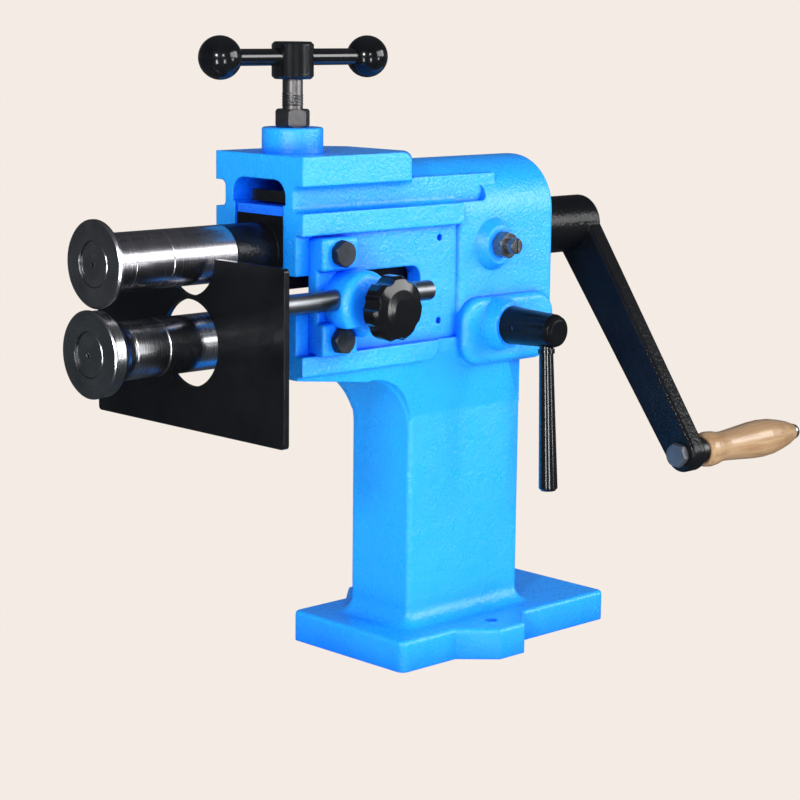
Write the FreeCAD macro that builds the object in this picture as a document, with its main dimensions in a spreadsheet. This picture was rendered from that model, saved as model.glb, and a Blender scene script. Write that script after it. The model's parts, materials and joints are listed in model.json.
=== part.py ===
import FreeCAD, Part
import math
import os
import re
import Sketcher
from FreeCAD import Placement, Rotation, Vector

# Frame: +Z up, the rolls point along -Y, the clamp knob and the shift lever are on +X.
# The origin is the point of the base's underside midway between its two bolt holes.
# Lengths are in millimetres and angles in degrees.
SIZES = {
    # Base and column
    "base_half": 61.0, "base_front": 93.6, "base_rear": 132.7, "base_thick": 23.5,
    "base_corner": 5.5, "base_edge": 3.0, "ear_reach": 84.0, "ear_root": 38.0,
    "ear_tip": 13.5, "ear_hole": 4.75, "ear_hole_place": 61.4,
    "column_half": 32.0, "column_front": 60.0, "column_rear": 60.0, "column_corner": 4.0,
    "column_flare": 12.0, "core_wall": 10.0, "core_top": 160.0, "core_rib": 8.0,
    # Head casting
    "axis_low": 253.4, "axis_gap": 60.0, "head_front": 180.2, "head_rear": 81.5,
    "flange_half": 46.6, "pad_half": 39.5, "neck_half": 36.2, "cove_round": 4.5, "head_bottom": 228.0,
    "ledge_thick": 14.0, "ledge_round": 11.0, "ledge_end": 45.0, "pad_end": 22.0, "house_half": 43.0,
    "strip_bottom": 326.4, "strip_top": 341.8, "strip_end": 20.0,
    "slab_bottom": 360.6, "slab_top": 380.9, "slab_end": 76.0, "slab_round": 7.0, "slab_cut": 14.0,
    "house_top": 372.0, "house_bottom": 217.0, "house_low_round": 16.0, "corbel_drop": 35.0,
    "corbel_end": 32.0, "corbel_inset": 1.2, "house_round": 41.0,
    "house_rear_round": 4.0, "house_front": 22.0,
    "keel_front": 225.0, "keel_rear": 216.0, "keel_round": 45.0,
    "throat_bottom": 271.4, "throat_top": 298.0, "throat_end": 59.0, "throat_round": 9.0,
    "slot_half": 26.0, "slot_step": 346.5, "slot_step_half": 28.3, "slot_top": 364.0, "slot_round": 12.0,
    "slot_floor": 283.0,
    "roof_front": 70.0, "groove_end": 8.0, "groove_tall": 12.0, "groove_round": 5.0,
    "chamber_half": 37.0, "chamber_front": 32.0, "chamber_low": 234.0, "chamber_high": 350.0,
    "chamber_round": 10.0, "gear_pit": 33.6, "gear_pit_end": 62.0,
    "cover_thick": 6.0, "cover_half": 38.5, "cover_low": 238.0, "cover_high": 336.0,
    "cover_corner": 9.0, "cover_ledge": 5.5, "cover_door_round": 12.0,
    "cover_screw": 2.0, "cover_screw_head": 3.8, "cover_screw_inset": 6.0,
    "top_boss": 21.8, "top_boss_high": 398.6, "screw_place": 148.8,
    "pivot_place": 14.5, "pivot_high": 308.9, "pivot_boss": 15.5, "boss_face": 51.0,
    "bulge_front": 23.0, "bulge_tall": 50.0, "bulge_round": 18.0,
    "lever_place": 15.0, "shift_throw": 3.9, "lever_boss": 17.0, "lever_boss_face": 63.0,
    "tap_place": 39.5, "tap_high": 316.8, "tap_low": 255.3, "tap_hole": 2.5, "tap_deep": 9.0,
    # Fits
    "run_gap": 0.05, "rest_gap": 0.3, "side_gap": 1.0,
    # Rocker that carries the upper shaft
    "rocker_half": 24.5, "rocker_low": 287.0, "rocker_high": 338.8, "rocker_front": 179.0,
    "rocker_rear": 28.5, "rocker_chamfer": 3.0, "nose_radius": 20.0, "nose_end": 215.1,
    "plate_thick": 6.5, "plate_end": 118.0, "plate_screw": 3.0,
    "bush_wall": 3.5, "front_bush_end": 150.0, "rear_bush_length": 30.0, "oil_space": 1.5,
    # Shafts, rolls and collars
    "shaft_radius": 12.5, "seat_radius": 11.0, "collar_radius": 20.0,
    "upper_face": 323.7, "upper_disc": 29.8, "upper_disc_rim": 1.4, "upper_disc_back": 314.4,
    "upper_roll_end": 302.5, "upper_spacer_end": 270.7, "upper_collar_end": 215.4,
    "lower_face": 328.2, "lower_disc": 29.8, "lower_rim": 1.7, "lower_groove": 1.0,
    "lower_second": 29.0, "lower_second_end": 318.4, "lower_neck_long": 2.0,
    "lower_roll_end": 302.0, "lower_spacer_end": 274.5, "lower_collar_end": 217.5,
    "head_radius": 15.5, "head_thick": 5.0, "head_step": 1.6, "head_chord": 2.0,
    "centre_hole": 2.2, "roll_screw": 6.0, "roll_screw_long": 26.0, "edge": 0.6,
    "key_wide": 6.0, "key_high": 6.0, "roll_key_long": 14.0,
    "upper_shaft_end": 157.0, "lower_shaft_end": 66.0,
    "arm_bore_wall": 17.0, "lower_nose_end": 214.5, "lower_sleeve_end": 140.0,
    "arm_clear": 14.5,
    # Gears
    "gear_module": 3.0, "gear_teeth": 20.0, "pressure_angle": 20.0, "tooth_top": 0.8,
    "tooth_foot": 1.4, "backlash": 1.15, "gear_start": 38.0, "upper_gear_wide": 18.0,
    "shift_travel": 2.4, "gear_key_long": 12.0, "ring_thick": 2.5, "ring_radius": 16.0,
    # Axial shift of the lower shaft
    "sleeve_radius": 19.5, "sleeve_front": 1.0, "sleeve_rear": 29.0, "shift_pin": 4.0,
    "shift_pin_reach": 5.0, "shift_slack": 0.3, "eccentric_radius": 9.0,
    "hub_root": 14.3, "hub_tip": 12.4, "hub_end": 110.5, "hub_round": 5.0, "hub_spigot": 7.0,
    "hub_spigot_end": 91.0, "hub_pin": 2.0, "hub_pin_place": 75.0,
    "rod_place": 97.3, "rod_top": 5.3, "rod_bottom": 7.1, "rod_low": 129.0, "rod_lean": 2.8,
    "rod_nut": 6.4, "rod_nut_thick": 3.2,
    # Pivot screws
    "pivot_screw": 6.0, "pivot_dog": 4.5, "pivot_dog_long": 6.0, "pivot_screw_end": 68.0,
    "pivot_nut_flats": 18.0, "pivot_nut_thick": 9.0, "slot_wide": 1.8, "slot_deep": 2.6,
    # Pressure screw and its handle
    "thread_radius": 7.2, "pad_radius": 7.0, "pad_side": 20.5, "pad_long": 42.4, "pad_thick": 9.5,
    "pad_foot": 1.2,
    "tip_radius": 4.0, "tip_long": 3.5, "nut_flats": 22.0, "nut_thick": 12.7, "nut_turn": 6.0,
    "nut_chamfer": 1.6, "screw_plain_start": 423.0,
    "thead_under": 15.3, "thead_over": 10.8, "thead_radius": 14.9, "thead_chamfer": 2.0,
    "tbar_rise": 48.9, "tbar_radius": 5.9, "tbar_half": 68.9, "tbar_shift": 2.9,
    "ball_radius": 15.1, "ball_seat": 9.5, "thead_pin": 1.5, "thead_pin_drop": 10.0,
    # Crank
    "crank_hub": 22.5, "crank_hub_start": 87.5, "crank_face": 146.0, "crank_thick": 16.0,
    "crank_reach": 210.7, "crank_lean": 35.6, "crank_root": 19.0, "crank_tip": 14.2,
    "crank_edge": 3.0, "washer_radius": 16.0, "washer_thick": 2.5, "crank_screw": 5.0,
    "crank_screw_head": 8.0, "crank_screw_high": 5.0, "crank_screw_long": 20.0,
    "grip_bolt": 5.0, "grip_bolt_flats": 17.0, "grip_bolt_head": 6.5, "grip_nut_thick": 9.5,
    "grip_nut_radius": 10.5, "grip_long": 117.5, "grip_bead": 14.0, "grip_neck": 11.8,
    "grip_belly": 15.2, "grip_end": 7.5, "grip_clear": 0.3, "cap_radius": 6.8, "cap_long": 9.5,
    # Fence and its clamp
    "fence_front": 242.5, "fence_thick": 4.5, "fence_left": 105.5, "fence_right": 98.5, "fence_low": 192.5,
    "fence_high": 313.4, "fence_hole": 30.5, "fence_notch": 27.0, "fence_corner": 3.0,
    "bar_radius": 7.2, "bar_place": 59.5, "bar_high": 282.3, "bar_end": 69.0,
    "bar_spigot": 4.0, "bar_spigot_long": 3.0, "bar_edge": 1.0,
    "bracket_front": 168.5, "bracket_rear": 135.0, "bracket_face": 48.5, "bracket_pad": 55.0,
    "bracket_high": 324.5, "pad_tall": 23.0, "bracket_boss": 23.5,
    "bracket_boss_face": 72.0, "knob_place": 140.0, "bracket_edge": 2.5,
    "bolt_place": 152.3, "bolt_high": 313.8, "bolt_low": 252.8, "bolt_radius": 5.0,
    "bolt_flats": 17.0, "bolt_head": 6.4, "bolt_deep": 11.0,
    "knob_start": 87.0, "knob_end": 105.0, "knob_radius": 23.0, "knob_high": 278.5, "knob_neck": 10.0,
    "knob_neck_start": 78.0, "knob_lobes": 7.0, "knob_scallop": 8.0, "knob_scallop_place": 27.6,
    "knob_dome": 3.5, "stud_radius": 4.0,
    # Return spring
    "spring_place": 85.0, "spring_radius": 9.0, "spring_wire": 1.2, "spring_turns": 4.5,
    "spring_pocket": 6.0, "spring_pocket_gap": 1.8,
}

AXIS_TURN = {"X": Rotation(Vector(0, 1, 0), 90),
             "Y": Rotation(Vector(1, 0, 0), -90),
             "Z": Rotation()}
ROLE = {"XY": "XY_Plane", "XZ": "XZ_Plane", "YZ": "YZ_Plane"}
UP = "axis_low + axis_gap"
LOW = "axis_low"
LEVER_HIGH = "axis_low - shift_throw"
LEDGE_TOP = "head_bottom + ledge_thick"
TBAR_HIGH = "top_boss_high + tbar_rise"
BRACKET_LOW = "head_bottom + ledge_thick + rest_gap"

doc = FreeCAD.newDocument("bead_roller")
sheet = doc.addObject("Spreadsheet::Sheet", "sizes")
for row, (alias, number) in enumerate(SIZES.items(), start=1):
    sheet.set(f"A{row}", alias)
    sheet.set(f"B{row}", str(number))
    sheet.setAlias(f"B{row}", alias)
doc.recompute()

NODES = []


def size(alias):
    return float(sheet.get(alias))


def bound(text):
    """Put the sheet's name before each of its aliases in a formula."""
    def full(word):
        return "sizes." + word.group() if word.group() in SIZES else word.group()
    return re.sub(r"[a-z]\w*", full, text)


def place(solid, x="0", y="0", z="0"):
    for axis, text in zip("xyz", (x, y, z)):
        solid.setExpression(f"Placement.Base.{axis}", bound(text))


def node(label, solid):
    solid.Label = label
    NODES.append(solid)
    return solid


def box(name, x, y, z):
    """A block between the pairs of formulas given for X, Y and Z."""
    solid = doc.addObject("Part::Box", name)
    for side, (low, high) in zip(("Length", "Width", "Height"), (x, y, z)):
        solid.setExpression(side, bound(f"({high}) - ({low})"))
    place(solid, x[0], y[0], z[0])
    return solid


def rod(name, axis, radius, start, end, at):
    """A cylinder along an axis, at the two other coordinates in X, Y, Z order."""
    solid = doc.addObject("Part::Cylinder", name)
    solid.setExpression("Radius", bound(radius))
    solid.setExpression("Height", bound(f"({end}) - ({start})"))
    solid.Placement = Placement(Vector(), AXIS_TURN[axis])
    base = list(at)
    base.insert("XYZ".index(axis), start)
    place(solid, *base)
    return solid


def cone(name, axis, first, last, start, end, at):
    solid = doc.addObject("Part::Cone", name)
    solid.setExpression("Radius1", bound(first))
    solid.setExpression("Radius2", bound(last))
    solid.setExpression("Height", bound(f"({end}) - ({start})"))
    solid.Placement = Placement(Vector(), AXIS_TURN[axis])
    base = list(at)
    base.insert("XYZ".index(axis), start)
    place(solid, *base)
    return solid


def fuse(name, solids):
    joined = doc.addObject("Part::MultiFuse", name)
    joined.Shapes = solids
    joined.Refine = True
    return joined


def cut(name, solid, tools):
    whole = tools[0] if len(tools) == 1 else fuse(name + "_tools", tools)
    left = doc.addObject("Part::Cut", name)
    left.Base = solid
    left.Tool = whole
    left.Refine = True
    return left


def group(name, solids):
    held = doc.addObject("Part::Compound", name)
    held.Links = solids
    return held


def sketch_on(body, plane):
    base = next(item for item in body.Origin.OriginFeatures if item.Role == ROLE[plane])
    sketch = body.newObject("Sketcher::SketchObject", body.Name + "_sketch")
    sketch.AttachmentSupport = [(base, "")]
    sketch.MapMode = "FlatFace"
    return sketch


def outline(sketch, points):
    """A closed polygon whose corners are held by formulas from the sketch's origin."""
    count = len(points)
    spots = [Vector(10 * math.cos(2 * math.pi * i / count), 10 * math.sin(2 * math.pi * i / count), 0)
             for i in range(count)]
    sketch.addGeometry([Part.LineSegment(spots[i], spots[(i + 1) % count]) for i in range(count)])
    rules = [Sketcher.Constraint("Coincident", i, 2, (i + 1) % count, 1) for i in range(count)]
    for i, spot in enumerate(spots):
        rules.append(Sketcher.Constraint("DistanceX", -1, 1, i, 1, spot.x))
        rules.append(Sketcher.Constraint("DistanceY", -1, 1, i, 1, spot.y))
    sketch.addConstraint(rules)
    for i, corner in enumerate(points):
        for k, text in enumerate(corner):
            sketch.setExpression(f"Constraints[{count + 2 * i + k}]", bound(text))


def circle_in(sketch, radius, x, y):
    number = sketch.addGeometry(Part.Circle(Vector(1, 1, 0), Vector(0, 0, 1), 1))
    first = sketch.ConstraintCount
    sketch.addConstraint([Sketcher.Constraint("Radius", number, 1),
                          Sketcher.Constraint("DistanceX", -1, 1, number, 3, 1),
                          Sketcher.Constraint("DistanceY", -1, 1, number, 3, 1)])
    for k, text in enumerate((radius, x, y)):
        sketch.setExpression(f"Constraints[{first + k}]", bound(text))


def turned(name, axis, profile, at=("0", "0")):
    """A lathe-turned solid: the profile is (radius, place along the axis) pairs."""
    body = doc.addObject("PartDesign::Body", name)
    sketch = sketch_on(body, "XZ")
    outline(sketch, profile)
    turn = body.newObject("PartDesign::Revolution", name + "_turn")
    turn.Profile = sketch
    turn.ReferenceAxis = (sketch, ["V_Axis"])
    turn.Angle = 360
    body.Placement = Placement(Vector(), AXIS_TURN[axis])
    base = list(at)
    base.insert("XYZ".index(axis), "0")
    place(body, *base)
    return body


def prism(name, plane, points, start, end):
    """A polygon in XY, or in YZ with the depth along X, padded between two formulas."""
    body = doc.addObject("PartDesign::Body", name)
    sketch = sketch_on(body, plane)
    outline(sketch, points)
    pad = body.newObject("PartDesign::Pad", name + "_pad")
    pad.Profile = sketch
    pad.setExpression("Length", bound(f"({end}) - ({start})"))
    if plane == "XY":
        place(body, z=start)
    elif plane == "YZ":
        place(body, x=start)
    else:
        place(body, y=end)
    return body


def hexagon(name, axis, flats, start, end, at, turn="0"):
    solid = doc.addObject("Part::Prism", name)
    solid.Polygon = 6
    solid.setExpression("Circumradius", bound(f"({flats}) / sqrt(3)"))
    solid.setExpression("Height", bound(f"({end}) - ({start})"))
    spin = Rotation(Vector(0, 0, 1), size(turn) if turn in SIZES else float(turn))
    solid.Placement = Placement(Vector(), AXIS_TURN[axis].multiply(spin))
    base = list(at)
    base.insert("XYZ".index(axis), start)
    place(solid, *base)
    return solid


def rounded(name, solid, edges, radius):
    """Fillet the edges that a test picks out of a solid."""
    doc.recompute()
    picked = [i for i, edge in enumerate(solid.Shape.Edges, start=1) if edges(edge)]
    smooth = doc.addObject("Part::Fillet", name)
    smooth.Base = solid
    smooth.Edges = [(i, radius, radius) for i in picked]
    return smooth


def runs_along(edge, axis):
    """True for a straight edge along X, Y or Z."""
    if edge.Curve.TypeId != "Part::GeomLine":
        return False
    return abs(abs(getattr(edge.Curve.Direction, axis.lower())) - 1) < 1e-6


def ring(low, high, start, end):
    return [(low, start), (high, start), (high, end), (low, end)]


def chamfered_nut(name, axis, flats, bore, start, end, at, turn="0"):
    """A hexagon whose corners are turned off at both ends, with its bore."""
    blank = hexagon(name + "_blank", axis, flats, start, end, at, turn)
    half = f"({flats}) / 2"
    corner = f"({flats}) / sqrt(3)"
    lathe = turned(name + "_lathe", axis,
                   [("0", start), (half, start), (corner, f"{start} + nut_chamfer"),
                    (corner, f"{end} - nut_chamfer"), (half, end), ("0", end)], at)
    common = doc.addObject("Part::MultiCommon", name + "_common")
    common.Shapes = [blank, lathe]
    if bore is None:
        return common
    return cut(name, common, [rod(name + "_bore", axis, bore, f"{start} - 1", f"{end} + 1", at)])


def base_and_column():
    plate = box("base_block", ("-base_half", "base_half"), ("-base_front", "base_rear"),
                ("0", "base_thick"))
    plate = rounded("base_corners", plate, lambda edge: runs_along(edge, "Z"), size("base_corner"))
    ears = prism("base_ears", "XY",
                 [("-ear_reach", "-ear_tip"), ("-base_half", "-ear_root"), ("base_half", "-ear_root"),
                  ("ear_reach", "-ear_tip"), ("ear_reach", "ear_tip"), ("base_half", "ear_root"),
                  ("-base_half", "ear_root"), ("-ear_reach", "ear_tip")], "0", "base_thick")
    foot = fuse("foot", [plate, ears])
    top = size("base_thick")
    foot = rounded("foot_edge", foot,
                   lambda edge: all(abs(v.Z - top) < 1e-3 for v in edge.Vertexes),
                   size("base_edge"))
    column = box("column_block", ("-column_half", "column_half"), ("-column_front", "column_rear"),
                 ("base_thick - 1", "house_bottom + 20"))
    column = rounded("column_corners", column, lambda edge: runs_along(edge, "Z"),
                     size("column_corner"))
    stand = fuse("stand", [foot, column])
    half, front, rear = size("column_half"), size("column_front"), size("column_rear")

    def meets_base(edge):
        box_of = edge.BoundBox
        return (abs(box_of.ZMin - top) < 1e-3 and abs(box_of.ZMax - top) < 1e-3
                and box_of.XMax < half + 0.01 and box_of.XMin > -half - 0.01
                and box_of.YMin > -front - 0.01 and box_of.YMax < rear + 0.01)
    return rounded("stand_flare", stand, meets_base, size("column_flare"))


def head_blocks():
    front = "-head_front"
    blocks = [
        box("ledge", ("-flange_half", "flange_half"), (front, "-ledge_end"),
            ("head_bottom", LEDGE_TOP)),
        box("pad_block", ("-pad_half", "pad_half"), (front, "-pad_end + 10"),
            (LEDGE_TOP + " - 5", "strip_bottom + 5")),
        box("strip", ("-flange_half", "flange_half"), (front, "-strip_end"),
            ("strip_bottom", "strip_top")),
        box("neck", ("-neck_half", "neck_half"), (front, "house_front"),
            ("strip_top - 1", "slab_bottom + 1")),
    ]
    ledge = rounded("ledge_round", blocks[0],
                    lambda edge: runs_along(edge, "X") and edge.CenterOfMass.y > -size("head_front") + 1
                    and edge.CenterOfMass.z < size("head_bottom") + 1, size("ledge_round"))
    strip = rounded("strip_round", blocks[2],
                    lambda edge: runs_along(edge, "X") and edge.CenterOfMass.y > -size("head_front") + 1, 4.0)
    slab = prism("slab", "XY",
                 [("-flange_half", front), ("flange_half", front), ("flange_half", "-slab_end"),
                  ("flange_half - slab_cut", "-slab_end + slab_cut"),
                  ("-flange_half + slab_cut", "-slab_end + slab_cut"),
                  ("-flange_half", "-slab_end")], "slab_bottom", "slab_top")
    slab_high, slab_end = size("slab_top"), -size("slab_end")
    slab = rounded("slab_soft", slab,
                   lambda edge: edge.BoundBox.ZMin > slab_high - 1e-3 and edge.CenterOfMass.y > slab_end - 1,
                   size("slab_round"))
    neck = fuse("neck_group", [strip, blocks[3], slab])
    levels = (size("strip_top"), size("slab_bottom"))
    side = size("neck_half")

    def cove(edge):
        middle = edge.CenterOfMass
        return (runs_along(edge, "Y") and abs(abs(middle.x) - side) < 1e-3
                and min(abs(middle.z - high) for high in levels) < 1e-3)
    neck = rounded("neck_coves", neck, cove, size("cove_round"))
    return [ledge, blocks[1], neck, roof()]


def roof():
    """The arched web that runs from under the top slab into the rear housing."""
    arch = box("roof_arch", ("-house_half", "house_half"), ("-roof_front", "0"),
               ("house_top - house_half - 5", "house_top"))
    high = size("house_top")
    arch = rounded("roof_rounded", arch,
                   lambda edge: runs_along(edge, "Y") and abs(edge.CenterOfMass.z - high) < 1e-3,
                   size("house_round"))
    trim = box("roof_trim", ("-neck_half", "neck_half"), ("-roof_front", "0"),
               ("strip_top - 1", "house_top + 1"))
    web = doc.addObject("Part::MultiCommon", "roof")
    web.Shapes = [arch, trim]
    return web


def rear_house():
    house = box("house_block", ("-house_half", "house_half"), ("-house_front", "head_rear"),
                ("house_bottom", "house_top"))
    high = size("house_top")
    house = rounded("house_shoulders", house,
                    lambda edge: runs_along(edge, "Y") and abs(edge.CenterOfMass.z - high) < 1e-3,
                    size("house_round"))
    back = size("head_rear")

    def rear_rim(edge):
        return edge.BoundBox.YLength < 1e-3 and abs(edge.CenterOfMass.y - back) < 1e-3
    low = size("house_bottom")
    house = rounded("house_heel", house,
                    lambda edge: runs_along(edge, "X") and abs(edge.CenterOfMass.z - low) < 1e-3,
                    size("house_low_round"))
    house = rounded("house_back", house, rear_rim, size("house_rear_round"))
    grooves = []
    for name, side in (("groove_right", ("neck_half", "house_half + 1")),
                       ("groove_left", ("-house_half - 1", "-neck_half"))):
        groove = box(name, side, ("-house_front - 5", "groove_end"),
                     ("strip_top", "strip_top + groove_tall"))
        end = size("groove_end")
        grooves.append(rounded(name + "_end", groove,
                               lambda edge: runs_along(edge, "X") and abs(edge.CenterOfMass.y - end) < 1e-3,
                               size("groove_round")))
    return cut("house_grooved", house, grooves)


def keel_side(name, half, sweep):
    """The side outline under the head, swept into the column's front by an arc of the given radius."""
    blank = prism(name + "_block", "YZ",
                  [("-head_front", "keel_front"), ("-head_front", LEDGE_TOP),
                   ("column_rear - 2", LEDGE_TOP), ("column_rear - 2", "house_bottom - corbel_drop"),
                   ("-column_front + 12", "keel_rear - keel_round - 8"),
                   ("-column_front", "keel_rear - keel_round - 8"),
                   ("-column_front", "keel_rear - keel_round"),
                   ("-column_front - keel_round", "keel_rear - keel_round"),
                   ("-column_front - keel_round", "keel_rear")],
                  f"-({half})", half)
    hollow = rod(name + "_sweep", "X", sweep, f"-({half}) - 1", f"{half} + 1",
                 ("-column_front - keel_round", "keel_rear - keel_round"))
    return cut(name + "_swept", blank, [hollow])


def keel():
    """The web under the head, as wide as the column."""
    swept = keel_side("keel", "column_half", "keel_round")
    half, front = size("column_half"), -size("column_front")

    def under_edge(edge):
        middle = edge.CenterOfMass
        return (abs(abs(middle.x) - half) < 1e-3 and edge.BoundBox.XLength < 1e-3
                and middle.z < size("keel_front") and middle.y < front + 0.01)
    return rounded("keel", swept, under_edge, size("column_corner"))


def corbel():
    """The taper from the head's width down to the column's, drawn in at its rear end."""
    low = "house_bottom - corbel_drop"
    taper = prism("corbel_taper", "XZ",
                  [("-house_half", LEDGE_TOP), ("house_half", LEDGE_TOP),
                   ("house_half", "head_bottom + 4"), ("column_half - 0.5", low),
                   ("-column_half + 0.5", low), ("-house_half", "head_bottom + 4")],
                  "-head_front", "column_rear")
    narrow = "column_half - 1"
    plan = prism("corbel_plan", "XY",
                 [("-house_half", "-head_front"), ("house_half", "-head_front"),
                  ("house_half", "column_rear - corbel_end"), (narrow, "column_rear - 1"),
                  (f"-({narrow})", "column_rear - 1"), ("-house_half", "column_rear - corbel_end")],
                 low, LEDGE_TOP)
    both = doc.addObject("Part::MultiCommon", "corbel")
    both.Shapes = [taper, plan, keel_side("corbel_side", "house_half", "keel_round + corbel_inset")]
    return both


def bosses():
    bulge = box("bulge_block", ("-boss_face", "boss_face"), ("-bulge_front", "head_rear - 5"),
                ("house_bottom + 3", "house_bottom + 3 + bulge_tall"))
    bulge = rounded("bulge_corners", bulge, lambda edge: runs_along(edge, "X"), size("bulge_round"))
    side = size("boss_face")
    bulge = rounded("bulge_edges", bulge,
                    lambda edge: abs(abs(edge.CenterOfMass.x) - side) < 1e-3, 5.0)
    pivots = cone("pivot_boss_right", "X", "pivot_boss + 5", "pivot_boss - 1", "house_half - 1",
                  "boss_face", ("pivot_place", "pivot_high"))
    mirror = doc.addObject("Part::Mirroring", "pivot_boss_left")
    mirror.Source = pivots
    mirror.Base = Vector(0, 0, 0)
    mirror.Normal = Vector(1, 0, 0)
    lever = cone("lever_boss_ring", "X", "lever_boss + 4", "lever_boss", "boss_face - 2",
                 "lever_boss_face", ("lever_place", LEVER_HIGH))
    top = rod("screw_boss", "Z", "top_boss", "slab_top - 2", "top_boss_high", ("0", "-screw_place"))
    top_high = size("top_boss_high")
    top = rounded("screw_boss_edge", top,
                  lambda edge: abs(edge.BoundBox.ZMin - top_high) < 1e-3
                  and abs(edge.BoundBox.ZMax - top_high) < 1e-3, 1.5)
    return [bulge, pivots, mirror, lever, top]


def head_hollows():
    front = "-head_front - 1"
    slot = box("slot_block", ("-slot_step_half", "slot_step_half"), (front, "chamber_front + 1"),
               ("slot_step", "slot_top"))
    high = size("slot_top")
    slot = rounded("slot_shape", slot,
                   lambda edge: runs_along(edge, "Y") and abs(edge.CenterOfMass.z - high) < 1e-3,
                   size("slot_round"))
    lower_slot = box("slot_lower", ("-slot_half", "slot_half"), (front, "chamber_front + 1"),
                     ("slot_floor", "slot_step + 1"))
    throat = box("throat_block", ("-flange_half - 8", "flange_half + 8"), (front, "-throat_end"),
                 ("throat_bottom", "throat_top"))
    back = -size("throat_end")
    throat = rounded("throat_shape", throat,
                     lambda edge: runs_along(edge, "X") and abs(edge.CenterOfMass.y - back) < 1e-3,
                     size("throat_round"))
    chamber = box("chamber_block", ("-chamber_half", "chamber_half"),
                  ("chamber_front", "head_rear - cover_thick - 3"), ("chamber_low", "chamber_high"))
    chamber = rounded("chamber_shape", chamber, lambda edge: runs_along(edge, "Y"),
                      size("chamber_round"))
    pit = rod("gear_pit_bore", "Y", "gear_pit", "chamber_front", "gear_pit_end", ("0", LOW))
    rebate = cover_blank("cover_rebate", "run_gap", "head_rear + 1")
    door = box("door_block", ("-cover_half + cover_ledge", "cover_half - cover_ledge"),
               ("head_rear - cover_thick - 5", "head_rear + 1"),
               ("cover_low + cover_ledge", "cover_high - cover_ledge"))
    door = rounded("door_shape", door, lambda edge: runs_along(edge, "Y"), size("cover_door_round"))
    low_bore = [
        rod("front_bore", "Y", "arm_bore_wall", front, "-lower_sleeve_end", ("0", LOW)),
        rod("middle_bore", "Y", "arm_clear", front, "sleeve_front", ("0", LOW)),
        rod("sleeve_bore", "Y", "sleeve_radius + run_gap", "sleeve_front - ring_thick - shift_travel - 0.6",
            "chamber_front + 1", ("0", LOW)),
    ]
    side_bores = [
        rod("pivot_tap", "X", "pivot_screw", "-boss_face - 1", "boss_face + 1",
            ("pivot_place", "pivot_high")),
        rod("lever_bore", "X", "eccentric_radius + run_gap", "sleeve_radius - 4",
            "lever_boss_face + 1", ("lever_place", LEVER_HIGH)),
        rod("screw_tap", "Z", "thread_radius + run_gap", "slot_top - 5", "top_boss_high + 1",
            ("0", "-screw_place")),
    ]
    return [slot, lower_slot, throat, chamber, pit, rebate, door] + low_bore + side_bores


def cover_blank(name, grow, rear):
    """The rear cover's outline, with a margin for its rebate."""
    blank = box(name + "_block", (f"-cover_half - {grow}", f"cover_half + {grow}"),
                ("head_rear - cover_thick", rear),
                (f"cover_low - {grow}", f"cover_high + {grow}"))
    return rounded(name, blank, lambda edge: runs_along(edge, "Y"), size("cover_corner"))


def cover_screw_spots():
    side = "cover_half - cover_screw_inset"
    low, high = "cover_low + cover_screw_inset", "cover_high - cover_screw_inset"
    return [(f"-({side})", low), (side, low), (f"-({side})", high), (side, high)]


def tapped_holes():
    holes = [rod(f"ear_drill_{i}", "Z", "ear_hole", "-1", "base_thick + 1", (side, "0"))
             for i, side in enumerate(("-ear_hole_place", "ear_hole_place"))]
    for i, high in enumerate(("tap_high", "tap_low")):
        holes.append(rod(f"accessory_tap_{i}", "X", "tap_hole", "pad_half - tap_deep",
                         "flange_half + 1", ("-tap_place", high)))
    for i, spot in enumerate(cover_screw_spots()):
        holes.append(rod(f"cover_tap_{i}", "Y", "cover_screw", "head_rear - cover_thick - 7",
                         "head_rear", spot))
    for i, high in enumerate(("bolt_high", "bolt_low")):
        holes.append(rod(f"bracket_tap_{i}", "X", "bolt_radius", "pad_half - bolt_deep",
                         "pad_half + 1", ("-bolt_place", high)))
    return holes


def column_cores():
    """Two cored pockets in the column, open below, with a rib between them."""
    wall = "column_half - core_wall"
    return [
        box("front_core", (f"-({wall})", wall), ("-column_front + core_wall", "-core_rib / 2"),
            ("-1", "core_top")),
        box("rear_core", (f"-({wall})", wall), ("core_rib / 2", "column_rear - core_wall"),
            ("-1", "core_top")),
    ]


def frame_casting():
    solid = fuse("casting_blank", [base_and_column(), rear_house(), keel(),
                                   corbel()] + head_blocks() + bosses())
    hollows = head_hollows() + tapped_holes() + column_cores()
    node("frame_casting", cut("casting", solid, hollows))


def rear_cover():
    blank = cover_blank("cover_plate", "0", "head_rear")
    passage = rod("cover_passage", "Y", "shaft_radius + 4", "head_rear - cover_thick - 1",
                  "head_rear + 1", ("0", UP))
    holes = [rod(f"cover_hole_{i}", "Y", "cover_screw", "head_rear - cover_thick - 1", "head_rear + 1", spot)
             for i, spot in enumerate(cover_screw_spots())]
    node("rear_cover", cut("cover", blank, [passage] + holes))


def locating_screw(name, side):
    """One pivot screw: threaded shank, plain dog point and a driver slot."""
    rise = [("0", "rocker_half - pivot_dog_long"), ("pivot_dog", "rocker_half - pivot_dog_long"),
            ("pivot_dog", "slot_half + 1"), ("pivot_screw", "slot_half + 3"),
            ("pivot_screw", "pivot_screw_end - 1"), ("pivot_screw - 1", "pivot_screw_end"),
            ("0", "pivot_screw_end")]
    body = turned(name + "_turned", "X", rise, ("pivot_place", "pivot_high"))
    slot = box(name + "_slot", ("pivot_screw_end - slot_deep", "pivot_screw_end + 1"),
               ("pivot_place - slot_wide / 2", "pivot_place + slot_wide / 2"),
               ("pivot_high - pivot_screw - 1", "pivot_high + pivot_screw + 1"))
    screw = cut(name + "_right", body, [slot])
    return screw if side > 0 else mirrored(name, screw)


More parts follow.
